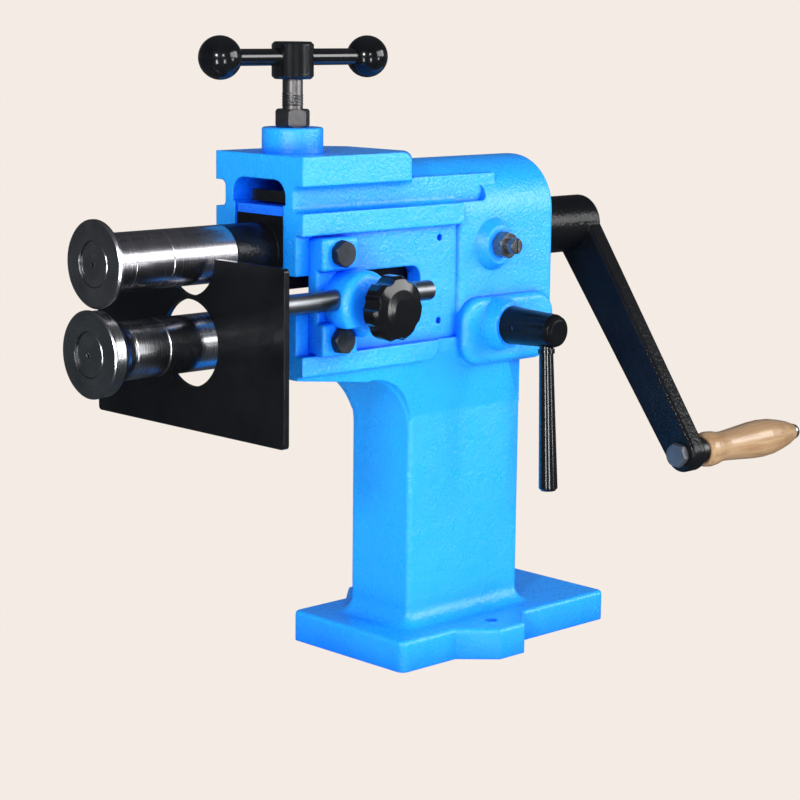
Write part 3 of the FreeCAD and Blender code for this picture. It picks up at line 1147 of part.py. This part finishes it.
def clamp_knob():
    body = doc.addObject("PartDesign::Body", "knob_body")
    sketch = sketch_on(body, "XY")
    circle_in(sketch, "knob_radius", "0", "0")
    pad = body.newObject("PartDesign::Pad", "knob_pad")
    pad.Profile = sketch
    pad.setExpression("Length", bound("knob_end - knob_start"))
    notch = sketch_on(body, "XY")
    circle_in(notch, "knob_scallop", "knob_scallop_place", "0")
    scallop = body.newObject("PartDesign::Pocket", "knob_scallop_cut")
    scallop.Profile = notch
    scallop.Reversed = True
    scallop.Type = "ThroughAll"
    doc.recompute()
    pattern = body.newObject("PartDesign::PolarPattern", "knob_star")
    pattern.Originals = [scallop]
    pattern.Axis = (sketch, ["N_Axis"])
    pattern.Angle = 360
    pattern.setExpression("Occurrences", bound("knob_lobes"))
    body.Tip = pattern
    body.Placement = Placement(Vector(), AXIS_TURN["X"])
    place(body, "knob_start", "-knob_place", "knob_high")
    at = ("-knob_place", "knob_high")
    dome = turned("knob_lathe", "X",
                  [("0", "knob_start"), ("knob_radius - 2", "knob_start"),
                   ("knob_radius", "knob_start + 2.5"),
                   ("knob_radius", "knob_end - knob_dome - 2"), ("knob_radius - 2",
                                                                 "knob_end - knob_dome + 0.6"),
                   ("knob_radius * 0.6", "knob_end - 0.8"), ("knob_radius * 0.3", "knob_end"),
                   ("0", "knob_end")], at)
    star = doc.addObject("Part::MultiCommon", "knob_crowned")
    star.Shapes = [body, dome]
    neck = rod("knob_neck_rod", "X", "knob_neck", "knob_neck_start", "knob_start + 1", at)
    hole = rod("knob_stud_hole", "X", "stud_radius", "knob_neck_start - 1", "knob_start + 9", at)
    node("clamp_knob", cut("knob_cut", fuse("knob_whole", [star, neck]), [hole]))
    tip = "bar_place + bar_radius + rest_gap"
    node("knob_stud", turned("knob_stud_turned", "X",
                             [("0", tip), ("stud_radius - 1", tip), ("stud_radius", f"{tip} + 1"),
                              ("stud_radius", "knob_start + 9"), ("0", "knob_start + 9")], at))


def biarc(first, first_way, last, last_way):
    """Two arcs that leave one point and reach the next along the given directions."""
    span = last - first
    both = first_way + last_way
    spread = 2 * (1 - first_way.dot(last_way))
    reach = (-span.dot(both) + math.sqrt(span.dot(both) ** 2 + spread * span.dot(span))) / spread
    near = first + first_way * reach
    far = last - last_way * reach
    joint = (near + far) * 0.5
    return [arc_by(first, near, joint), arc_by(joint, far, last)]


def arc_by(start, corner, end):
    """The arc from start to end whose tangents meet at the corner."""
    chord = (start + end) * 0.5
    rise = corner - chord
    half = (end - start).Length / 2
    long = (corner - start).Length
    bow = half * (long - half) / rise.Length
    return Part.Arc(start, chord + rise * (bow / rise.Length), end).toShape()


def coil_spot(angle, radius, low, climb):
    return Vector(radius * math.cos(angle), radius * math.sin(angle), low + climb * angle)


def coil_way(angle, radius, climb):
    way = Vector(-radius * math.sin(angle), radius * math.cos(angle), climb)
    return way.multiply(1 / way.Length)


def least_gap(spots, wire):
    """Smallest space between stretches of wire at least half a turn apart."""
    apart = [(first - last).Length for i, first in enumerate(spots) for last in spots[i + 24:]]
    return min(apart) - 2 * wire


def return_spring():
    """An open coil of round wire that lifts the rocker, from the lower arm to the rocker's seat."""
    radius, wire, turns = size("spring_radius"), size("spring_wire"), size("spring_turns")
    low = size("throat_bottom") + size("rest_gap") + wire
    high = size("rocker_low") + size("spring_pocket") - size("rest_gap") - wire
    climb = (high - low) / (turns * 2 * math.pi)
    steps = int(turns * 4)
    angles = [turns * 2 * math.pi * i / steps for i in range(steps + 1)]
    first = coil_spot(0, radius, low, climb)
    last = coil_spot(angles[-1], radius, low, climb)
    tail = first - coil_way(0, radius, climb) * (2 * wire)
    tip = last + coil_way(angles[-1], radius, climb) * (2 * wire)
    edges = [Part.LineSegment(tail, first).toShape()]
    for start, end in zip(angles, angles[1:]):
        edges += biarc(coil_spot(start, radius, low, climb), coil_way(start, radius, climb),
                       coil_spot(end, radius, low, climb), coil_way(end, radius, climb))
    edges.append(Part.LineSegment(last, tip).toShape())
    path = Part.Wire(edges)
    mouth = Part.Wire(Part.Circle(tail, coil_way(0, radius, climb), wire).toShape())
    wound = doc.addObject("Part::Feature", "spring_wound")
    wound.Shape = path.makePipeShell([mouth], True, False)
    spots = [tail] + [coil_spot(2 * math.pi * i / 48, radius, low, climb)
                      for i in range(int(turns * 48) + 1)] + [tip]
    print(f"return spring: least gap to itself {least_gap(spots, wire):.2f} mm")
    place(wound, "0", "-spring_place", "0")
    node("return_spring", wound)


def cover_screws():
    """Four round-headed screws with driver slots."""
    screws = []
    for i, (x, z) in enumerate(cover_screw_spots()):
        head = "cover_screw_head"
        blank = turned(f"cover_screw_{i}", "Y",
                       [("0", "head_rear - cover_thick - 6"), ("cover_screw", "head_rear - cover_thick - 6"),
                        ("cover_screw", "head_rear"), (head, "head_rear"), (head, "head_rear + 1"),
                        (f"{head} - 1", "head_rear + 2.2"), ("0", "head_rear + 2.6")], (x, z))
        slot = box(f"cover_screw_slot_{i}", (f"{x} - 5", f"{x} + 5"), ("head_rear + 1.4", "head_rear + 3"),
                   (f"{z} - 0.5", f"{z} + 0.5"))
        screws.append(cut(f"cover_screw_cut_{i}", blank, [slot]))
    node("cover_screws", group("cover_screw_set", screws))


def check_and_write():
    doc.recompute()
    for item in doc.Objects:
        if "Invalid" in item.State or "Error" in item.State:
            raise RuntimeError(f"{item.Name} did not compute: {item.State}")
    for item in NODES:
        if item.Shape.isNull() or not item.Shape.isValid():
            raise RuntimeError(f"{item.Label} has no valid shape")
    os.makedirs("parts", exist_ok=True)
    for item in NODES:
        item.Shape.exportStep(f"parts/{item.Label}.step")
        print(f"{item.Label}: {len(item.Shape.Solids)} solid(s), {item.Shape.Volume / 1000:.2f} cm3")


frame_casting()
rear_cover()
cover_screws()
pivot_fittings()
rocker()
pressure_plate()
upper_bushes()
upper_shaft()
upper_roll()
roll_screw("upper_roll_screw", "upper_face", UP)
lower_shaft()
lower_roll()
roll_screw("lower_roll_screw", "lower_face", LOW)
collars()
keys()
gears()
lower_bearing()
shift_sleeve()
upper_rings()
shift_lever()
pressure_screw()
crank()
crank_fixings()
fence()
fence_bracket()
clamp_knob()
return_spring()
check_and_write()
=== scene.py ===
import bpy
import json
import math
from mathutils import Matrix, Vector


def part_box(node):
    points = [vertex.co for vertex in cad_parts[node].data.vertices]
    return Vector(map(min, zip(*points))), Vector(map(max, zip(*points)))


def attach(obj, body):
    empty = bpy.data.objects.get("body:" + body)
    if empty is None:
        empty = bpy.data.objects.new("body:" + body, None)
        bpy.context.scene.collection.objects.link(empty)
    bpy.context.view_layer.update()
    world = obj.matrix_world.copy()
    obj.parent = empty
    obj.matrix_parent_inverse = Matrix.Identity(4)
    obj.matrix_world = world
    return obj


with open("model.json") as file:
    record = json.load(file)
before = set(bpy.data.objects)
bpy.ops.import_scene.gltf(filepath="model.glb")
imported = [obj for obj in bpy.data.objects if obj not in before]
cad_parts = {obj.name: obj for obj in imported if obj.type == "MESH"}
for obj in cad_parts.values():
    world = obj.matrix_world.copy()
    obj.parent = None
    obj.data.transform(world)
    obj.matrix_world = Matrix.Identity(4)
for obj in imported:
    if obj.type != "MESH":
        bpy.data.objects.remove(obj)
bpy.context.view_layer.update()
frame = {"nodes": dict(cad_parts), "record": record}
NODES = frame["nodes"]
MM = 0.001

AO_SAMPLES = 6
BEVEL_SAMPLES = 6
MIX_FIRST, MIX_SECOND, MIX_RESULT = 6, 7, 2

THREAD_RADIUS = 7.2 * MM
THREAD_PITCH = 2 * MM
THREAD_DEPTH = 0.45 * MM
THREAD_LIFT = 0.2 * MM
THREAD_TALL = 12 * MM
THREAD_SUNK = 0.1 * MM
RIDGE_HALF = 0.42
STEPS_PER_TURN = 48
RUN_OUT_STEPS = 12

PALE = (0.905, 0.838, 0.775)
FLOOR_DUSK = (0.058, 0.066, 0.070)
FLOOR_HALF = 30.0

CAMERA_PLACE = (1.178, -1.1877, 0.4802)
CAMERA_TURN, CAMERA_DROP, CAMERA_ROLL = 45.74, 10.0, 0.65
CAMERA_LENS = 99.29
CAMERA_SENSOR = 36.0
CAMERA_CLIP = (0.05, 100)

MIDDLE = (0.0, -0.05, 0.25)
LOW_MIDDLE = (0.0, 0.0, 0.15)
SIDE_MIDDLE = (0.0, 0.0, 0.17)
# Name, place, target, size and power in watts.
LAMPS = [
    ("key", (1.76, 1.32, 0.95), MIDDLE, (1.9, 0.9), 34),
    ("left_spot", (0.89, -1.68, 0.85), MIDDLE, (0.22, 0.22), 14),
    ("right_spot", (1.68, -0.89, 0.85), MIDDLE, (0.2, 0.2), 5),
    ("left_strip", (0.42, -0.86, 0.15), LOW_MIDDLE, (0.08, 0.29), 1.7),
    ("right_strip", (0.86, -0.42, 0.15), LOW_MIDDLE, (0.08, 0.29), 1.7),
    ("side_strip", (1.48, 0.60, 0.17), SIDE_MIDDLE, (0.14, 0.32), 1.6),
]


# Shader nodes

def shader(name):
    material = bpy.data.materials.new(name)
    material.use_nodes = True
    tree = material.node_tree
    return material, tree, tree.nodes["Principled BSDF"]


def plug(tree, item, **sockets):
    """Each named socket takes another node's output or a plain value."""
    for name, value in sockets.items():
        socket = item.inputs[name.replace("_", " ")]
        if isinstance(value, bpy.types.NodeSocket):
            tree.links.new(value, socket)
        else:
            socket.default_value = value
    return item


def add(tree, kind, settings=(), **sockets):
    item = tree.nodes.new(kind)
    for name, value in settings:
        setattr(item, name, value)
    return plug(tree, item, **sockets)


def ramp(tree, source, stops):
    """Stops hold a place and either a colour or a single grey value."""
    item = add(tree, "ShaderNodeValToRGB", Fac=source)
    points = item.color_ramp.elements
    while len(points) < len(stops):
        points.new(0.5)
    for point, (place, colour) in zip(points, stops):
        point.position = place
        point.color = (*colour, 1) if isinstance(colour, tuple) else (colour, colour, colour, 1)
    return item.outputs["Color"]


def noise(tree, space, scale, detail=3.0, rough=0.55, stretch=(1, 1, 1)):
    mapped = add(tree, "ShaderNodeMapping", Vector=space, Scale=stretch)
    return add(tree, "ShaderNodeTexNoise", Vector=mapped.outputs["Vector"], Scale=scale,
               Detail=detail, Roughness=rough).outputs["Fac"]


def object_space(tree):
    return add(tree, "ShaderNodeTexCoord").outputs["Object"]


def bump(tree, height, distance, strength, normal=None):
    item = add(tree, "ShaderNodeBump", Height=height, Distance=distance, Strength=strength)
    if normal is not None:
        plug(tree, item, Normal=normal)
    return item.outputs["Normal"]


def weighted(tree, source, weight, rest=None):
    """A value times its weight, plus another value."""
    item = add(tree, "ShaderNodeMath", [("operation", "MULTIPLY_ADD")])
    tree.links.new(source, item.inputs[0])
    item.inputs[1].default_value = weight
    item.inputs[2].default_value = 0.0
    if rest is not None:
        tree.links.new(rest, item.inputs[2])
    return item.outputs["Value"]


def soft_edges(tree, radius):
    return add(tree, "ShaderNodeBevel", [("samples", BEVEL_SAMPLES)], Radius=radius).outputs["Normal"]


def hollow_shade_mask(tree, distance):
    """Ambient occlusion: open surface is 1, a hollow as far in as the distance is 0; a mask for painting
    shade.
    """
    item = add(tree, "ShaderNodeAmbientOcclusion", [("samples", AO_SAMPLES)], Distance=distance)
    return item.outputs["AO"]


def blend_colours(tree, factor, first, second, way="MIX"):
    item = add(tree, "ShaderNodeMix", [("data_type", "RGBA"), ("blend_type", way)], Factor=factor)
    for socket, value in ((item.inputs[MIX_FIRST], first), (item.inputs[MIX_SECOND], second)):
        if isinstance(value, bpy.types.NodeSocket):
            tree.links.new(value, socket)
        else:
            socket.default_value = (*value, 1)
    return item.outputs[MIX_RESULT]


# Materials

def cast_enamel(name, light, painted_shade_colour, edge):
    """Gloss enamel over a slightly grainy casting, with shade painted into its recesses: ambient
    occlusion, mixed with random patches of tone, turns the colour to the shade colour there and lowers the
    coat and gloss.
    """
    material, tree, principled = shader(name)
    space = object_space(tree)
    # Painted shade: ambient occlusion in tight corners and wider recesses, plus random tone patches, sets
    # how far the colour darkens and the coat dulls.
    corner_shade = hollow_shade_mask(tree, distance=0.030)
    bay_shade = hollow_shade_mask(tree, distance=0.120)
    patches = noise(tree, space, scale=14, detail=4)
    tone_and_painted_shade = weighted(tree, patches, 0.35, weighted(tree, corner_shade, 0.5, weighted(tree, bay_shade, 0.5)))
    shade = ramp(tree, tone_and_painted_shade, [(0.45, 0.0), (1.0, 1.0)])
    spots = noise(tree, space, scale=60, detail=3)
    grain = noise(tree, space, scale=420, detail=3, rough=0.6)
    waves = noise(tree, space, scale=45, detail=2, rough=0.5)
    normal = bump(tree, waves, distance=0.0016, strength=0.45, normal=soft_edges(tree, edge))
    normal = bump(tree, grain, distance=0.0011, strength=0.7, normal=normal)
    # Base colour goes to the painted shade colour in recesses; coat weight and gloss drop there as painted
    # shade too.
    plug(tree, principled, Base_Color=blend_colours(tree, shade, painted_shade_colour, light),
         Roughness=ramp(tree, spots, [(0.3, 0.24), (0.75, 0.36)]),
         Normal=normal, Coat_Normal=normal, Coat_Roughness=0.1,
         Coat_Weight=ramp(tree, shade, [(0.2, 0.03), (0.9, 0.4)]),
         Specular_IOR_Level=ramp(tree, shade, [(0.1, 0.1), (0.8, 0.45)]))
    return material


def black_enamel(name, rough, edge, coat, gloss, grain):
    """Black enamel or moulding, with its own gloss and surface grain."""
    material, tree, principled = shader(name)
    space = object_space(tree)
    patches = noise(tree, space, scale=30, detail=4)
    spots = noise(tree, space, scale=70, detail=4)
    pores = noise(tree, space, scale=300, detail=3)
    normal = bump(tree, pores, distance=grain, strength=0.5, normal=soft_edges(tree, edge))
    plug(tree, principled,
         Base_Color=ramp(tree, patches, [(0.3, (0.003, 0.0035, 0.004)), (0.8, (0.007, 0.0075, 0.008))]),
         Roughness=ramp(tree, spots, [(0.3, rough), (0.8, rough + 0.12)]),
         Normal=normal, Coat_Normal=normal, Specular_IOR_Level=gloss,
         Coat_Weight=coat, Coat_Roughness=0.08)
    return material


def turned_space(tree, space, centre):
    """Distance along and from a shaft's axis, which runs along Y through the given point."""
    moved = add(tree, "ShaderNodeMapping", Vector=space, Location=[-part for part in centre])
    split = add(tree, "ShaderNodeSeparateXYZ", Vector=moved.outputs["Vector"])
    flat = add(tree, "ShaderNodeCombineXYZ", X=split.outputs["X"], Z=split.outputs["Z"])
    away = add(tree, "ShaderNodeVectorMath", [("operation", "LENGTH")])
    tree.links.new(flat.outputs["Vector"], away.inputs[0])
    joined = add(tree, "ShaderNodeCombineXYZ", X=away.outputs["Value"], Y=split.outputs["Y"])
    return joined.outputs["Vector"]


def turned_steel(name, dark, bright, rough, centre, marks=1400):
    """Lathe-turned steel: fine rings round its axis, faint stains."""
    material, tree, principled = shader(name)
    space = object_space(tree)
    rings = noise(tree, turned_space(tree, space, centre), scale=marks, detail=2, rough=0.7)
    stains = noise(tree, space, scale=55, detail=5)
    around = add(tree, "ShaderNodeTangent", [("direction_type", "RADIAL"), ("axis", "Y")])
    normal = bump(tree, rings, distance=0.00006, strength=0.45, normal=soft_edges(tree, 0.0005))
    plug(tree, principled, Base_Color=ramp(tree, stains, [(0.25, dark), (0.75, bright)]),
         Roughness=ramp(tree, rings, [(0.25, rough - 0.05), (0.8, rough + 0.1)]),
         Normal=normal, Metallic=1.0, Anisotropic=0.35, Tangent=around.outputs["Tangent"])
    return material


def dark_oxide(name, tone, rough, metal=1.0):
    """Oxide finished or grey steel, a little darker in patches."""
    material, tree, principled = shader(name)
    space = object_space(tree)
    patches = noise(tree, space, scale=90, detail=5)
    spots = noise(tree, space, scale=200, detail=3)
    pores = noise(tree, space, scale=600, detail=3)
    low = tuple(0.6 * part for part in tone)
    normal = bump(tree, pores, distance=0.0001, strength=0.4, normal=soft_edges(tree, 0.0006))
    plug(tree, principled, Base_Color=ramp(tree, patches, [(0.3, low), (0.75, tone)]),
         Roughness=ramp(tree, spots, [(0.3, rough), (0.8, rough + 0.15)]),
         Normal=normal, Metallic=metal)
    return material


def varnished_wood(name):
    """Pale turned wood under varnish, with its fibres along Y."""
    material, tree, principled = shader(name)
    space = object_space(tree)
    warp = noise(tree, space, scale=9, detail=3, rough=0.5, stretch=(1, 0.25, 1))
    fibres = noise(tree, space, scale=260, detail=5, rough=0.65, stretch=(1, 0.035, 1))
    bands = noise(tree, space, scale=70, detail=3, rough=0.5, stretch=(1, 0.07, 1))
    banded = blend_colours(tree, bands, (0.36, 0.21, 0.09), (0.56, 0.38, 0.19))
    streak = ramp(tree, fibres, [(0.35, (0.66, 0.52, 0.38)), (0.6, (1.0, 1.0, 1.0))])
    grained = blend_colours(tree, 0.8, banded, streak, "MULTIPLY")
    warmth = ramp(tree, warp, [(0.35, 0.0), (0.7, 0.3)])
    plug(tree, principled, Base_Color=blend_colours(tree, warmth, grained, (0.34, 0.17, 0.07)),
         Roughness=ramp(tree, fibres, [(0.3, 0.42), (0.7, 0.3)]),
         Normal=bump(tree, fibres, distance=0.0001, strength=0.3),
         Coat_Weight=0.35, Coat_Roughness=0.14)
    return material


def bronze(name):
    """Oiled bronze with fine turning marks."""
    material, tree, principled = shader(name)
    space = object_space(tree)
    patches = noise(tree, space, scale=60, detail=4)
    rings = noise(tree, space, scale=1200, detail=2, rough=0.6, stretch=(0.02, 1, 0.02))
    plug(tree, principled,
         Base_Color=ramp(tree, patches, [(0.3, (0.42, 0.26, 0.11)), (0.75, (0.66, 0.45, 0.22))]),
         Roughness=ramp(tree, rings, [(0.3, 0.28), (0.8, 0.42)]), Metallic=1.0)
    return material


def middle(node):
    low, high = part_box(node)
    return [(a + b) / 2 for a, b in zip(low, high)]


# In each blue enamel the second colour is painted shade for recesses; the first is the open paint colour.
ENAMEL = cast_enamel("blue_enamel", light=(0.012, 0.40, 0.96), painted_shade_colour=(0.001, 0.12, 0.93), edge=0.0022)
PLATE_BLUE = cast_enamel("blue_plate_enamel", light=(0.006, 0.20, 0.95), painted_shade_colour=(0.002, 0.08, 0.85),
                         edge=0.0006)
BLACK = black_enamel("black_cast_enamel", rough=0.40, edge=0.0018, coat=0.3, gloss=0.08, grain=0.0008)
FENCE_BLACK = black_enamel("black_plate_enamel", rough=0.18, edge=0.0006, coat=0.2, gloss=0.25,
                           grain=0.0001)
KNOB_BLACK = black_enamel("black_moulding", rough=0.10, edge=0.001, coat=0.4, gloss=0.25, grain=0.0001)
HUB_BLACK = black_enamel("black_hub", rough=0.30, edge=0.0012, coat=0.25, gloss=0.06, grain=0.0002)
GLOSS_STEEL = black_enamel("blued_steel", rough=0.14, edge=0.0007, coat=0.6, gloss=0.4, grain=0.00003)
UPPER_STEEL = turned_steel("turned_steel_upper", dark=(0.30, 0.29, 0.31), bright=(0.52, 0.51, 0.54),
                           rough=0.22, centre=middle("upper_shaft"))
LOWER_STEEL = turned_steel("turned_steel_lower", dark=(0.30, 0.30, 0.31), bright=(0.50, 0.51, 0.53),
                           rough=0.22, centre=middle("lower_shaft"))
GROUND = turned_steel("ground_steel", dark=(0.17, 0.18, 0.19), bright=(0.26, 0.27, 0.29), rough=0.34,
                      centre=middle("guide_bar"), marks=2400)
BRIGHT = turned_steel("bright_cap_steel", dark=(0.60, 0.61, 0.62), bright=(0.80, 0.80, 0.81), rough=0.2,
                      centre=middle("grip_cap"))
OXIDE = dark_oxide("dark_oxide", tone=(0.10, 0.10, 0.105), rough=0.30)
NUT_STEEL = dark_oxide("nut_steel", tone=(0.26, 0.25, 0.25), rough=0.30)
BOLT_STEEL = dark_oxide("bolt_steel", tone=(0.075, 0.085, 0.10), rough=0.45)
GREY_STEEL = dark_oxide("grey_steel", tone=(0.22, 0.23, 0.24), rough=0.20, metal=0.8)
GRIP_STEEL = dark_oxide("grip_steel", tone=(0.115, 0.125, 0.125), rough=0.28, metal=0.35)
GEAR_STEEL = dark_oxide("gear_steel", tone=(0.34, 0.34, 0.35), rough=0.38)
WOOD = varnished_wood("varnished_wood")
BRONZE = bronze("oiled_bronze")

SLOT_LOOKS = {
    "cast_blue": ENAMEL, "black_enamel": BLACK, "machined_steel": UPPER_STEEL, "dark_steel": OXIDE,
    "bronze": BRONZE, "black_plastic": KNOB_BLACK, "varnished_wood": WOOD,
}
NODE_LOOKS = {
    "pressure_plate": PLATE_BLUE, "fence_plate": FENCE_BLACK, "guide_bar": GROUND, "grip_cap": BRIGHT,
    "t_handle_bar": GLOSS_STEEL, "t_handle_hub": GLOSS_STEEL, "t_handle_pin": GLOSS_STEEL,
    "thrust_pad": GLOSS_STEEL, "lever_rod": GLOSS_STEEL, "lever_rod_nut": GLOSS_STEEL,
    "t_screw": NUT_STEEL, "lock_nut": NUT_STEEL, "lever_hub": HUB_BLACK,
    "upper_gear": GEAR_STEEL, "lower_gear": GEAR_STEEL, "bracket_bolts": BOLT_STEEL,
    "grip_bolt": GRIP_STEEL, "pivot_screws": GREY_STEEL, "pivot_nuts": GREY_STEEL, "knob_stud": GREY_STEEL,
    "lower_shaft": LOWER_STEEL, "lower_roll": LOWER_STEEL, "lower_spacer": LOWER_STEEL,
    "lower_collar": LOWER_STEEL, "lower_roll_screw": LOWER_STEEL, "lower_shaft_rings": LOWER_STEEL,
}
for part in frame["record"]["subparts"]:
    node = part["node"]
    NODES[node].data.materials.clear()
    NODES[node].data.materials.append(NODE_LOOKS.get(node, SLOT_LOOKS[part["material_slot"]]))


# Screw thread

def ridge_ring(x, y, level, turn, tall):
    """The three corners of the ridge's cross section at one turn."""
    corners = []
    for out, rise in ((THREAD_RADIUS - THREAD_SUNK, -RIDGE_HALF * THREAD_PITCH), (THREAD_RADIUS + tall, 0),
                      (THREAD_RADIUS - THREAD_SUNK, RIDGE_HALF * THREAD_PITCH)):
        corners.append((x + out * math.cos(turn), y + out * math.sin(turn), level + rise))
    return corners


def thread(name, node, low, high, look):
    """A helical ridge round an upright screw, from one height to another."""
    x, y, _ = middle(node)
    count = int(STEPS_PER_TURN * (high - low - THREAD_PITCH) / THREAD_PITCH)
    points, faces = [], []
    for i in range(count + 1):
        level = low + THREAD_PITCH / 2 + THREAD_PITCH * i / STEPS_PER_TURN
        tall = THREAD_DEPTH * min(1, i / RUN_OUT_STEPS, (count - i) / RUN_OUT_STEPS)
        points += ridge_ring(x, y, level, 2 * math.pi * i / STEPS_PER_TURN, tall)
        if i:
            a, b = 3 * (i - 1), 3 * i
            for k in range(3):
                n = (k + 1) % 3
                faces.append((a + k, b + k, b + n, a + n))
    faces.append((2, 1, 0))
    faces.append((3 * count, 3 * count + 1, 3 * count + 2))
    mesh = bpy.data.meshes.new(name)
    mesh.from_pydata(points, [], faces)
    mesh.materials.append(look)
    for polygon in mesh.polygons:
        polygon.use_smooth = True
    mesh.update()
    item = bpy.data.objects.new(name, mesh)
    bpy.context.scene.collection.objects.link(item)
    return item


NUT_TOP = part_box("lock_nut")[1][2]
screw_thread = thread("screw_thread", "t_screw", NUT_TOP + THREAD_LIFT, NUT_TOP + THREAD_TALL, NUT_STEEL)
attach(screw_thread, "pressure_screw")


# Stage

def pale_world():
    """Cream to the camera, a dim studio to reflections and a cool sky for the fill light."""
    world = bpy.data.worlds.new("studio")
    bpy.context.scene.world = world
    world.use_nodes = True
    tree = world.node_tree
    path = add(tree, "ShaderNodeLightPath")
    way = add(tree, "ShaderNodeTexCoord").outputs["Generated"]
    height = add(tree, "ShaderNodeSeparateXYZ", Vector=way).outputs["Z"]
    sky = ramp(tree, height, [(0.0, (0.28, 0.34, 0.58)), (0.4, (0.38, 0.45, 0.76)),
                              (1.0, (0.42, 0.50, 0.86))])
    dim = ramp(tree, height, [(0.0, 0.16), (0.12, 0.07), (0.6, 0.05), (1.0, 0.14)])
    lit = blend_colours(tree, path.outputs["Is Glossy Ray"], sky, dim)
    seen = blend_colours(tree, path.outputs["Is Camera Ray"], lit, PALE)
    plug(tree, tree.nodes["Background"], Strength=1.0, Color=seen)


def chosen(tree, factor, first, second):
    """The second shader where the factor is 1, the first elsewhere."""
    item = add(tree, "ShaderNodeMixShader", Fac=factor)
    tree.links.new(first, item.inputs[1])
    tree.links.new(second, item.inputs[2])
    return item.outputs["Shader"]


def floor():
    """A pale floor that looks like the backdrop to the camera and dark to reflections."""
    mesh = bpy.data.meshes.new("floor")
    corners = [(x * FLOOR_HALF, y * FLOOR_HALF, 0) for x, y in ((-1, -1), (1, -1), (1, 1), (-1, 1))]
    mesh.from_pydata(corners, [], [(0, 1, 2, 3)])
    item = bpy.data.objects.new("floor", mesh)
    bpy.context.scene.collection.objects.link(item)
    material, tree, principled = shader("pale_floor")
    plug(tree, principled, Base_Color=(*PALE, 1), Roughness=0.9, Specular_IOR_Level=0.1)
    path = add(tree, "ShaderNodeLightPath")
    glow = add(tree, "ShaderNodeEmission", Color=(*PALE, 1))
    dusk = add(tree, "ShaderNodeEmission", Color=(*FLOOR_DUSK, 1))
    near = chosen(tree, path.outputs["Is Glossy Ray"], principled.outputs["BSDF"],
                  dusk.outputs["Emission"])
    whole = chosen(tree, path.outputs["Is Camera Ray"], near, glow.outputs["Emission"])
    plug(tree, tree.nodes["Material Output"], Surface=whole)
    mesh.materials.append(material)


def soft_lamp(name, place, target, size, power):
    data = bpy.data.lights.new(name, "AREA")
    data.shape = "RECTANGLE"
    data.size, data.size_y = size
    data.energy = power
    item = bpy.data.objects.new(name, data)
    item.location = place
    item.rotation_mode = "QUATERNION"
    item.rotation_quaternion = (Vector(target) - Vector(place)).to_track_quat("-Z", "Y")
    item.visible_camera = False
    bpy.context.scene.collection.objects.link(item)


def camera():
    """The photograph's view: direction, tilt, roll, distance and lens."""
    turn, drop, roll = (math.radians(angle) for angle in (CAMERA_TURN, CAMERA_DROP, CAMERA_ROLL))
    ahead = Vector((-math.sin(turn), math.cos(turn), 0))
    right = Vector((math.cos(turn), math.sin(turn), 0))
    up = Vector((0, 0, 1))
    look = ahead * math.cos(drop) - up * math.sin(drop)
    top = up * math.cos(drop) + ahead * math.sin(drop)
    side = right * math.cos(roll) + top * math.sin(roll)
    top = top * math.cos(roll) - right * math.sin(roll)
    data = bpy.data.cameras.new("camera")
    data.sensor_width = CAMERA_SENSOR
    data.lens = CAMERA_LENS
    data.clip_start, data.clip_end = CAMERA_CLIP
    item = bpy.data.objects.new("camera", data)
    facing = Matrix((side, top, -look)).transposed().to_4x4()
    item.matrix_world = Matrix.Translation(CAMERA_PLACE) @ facing
    bpy.context.scene.collection.objects.link(item)
    bpy.context.scene.camera = item


bpy.context.scene.view_settings.view_transform = "Standard"
pale_world()
floor()
camera()
for lamp in LAMPS:
    soft_lamp(*lamp)
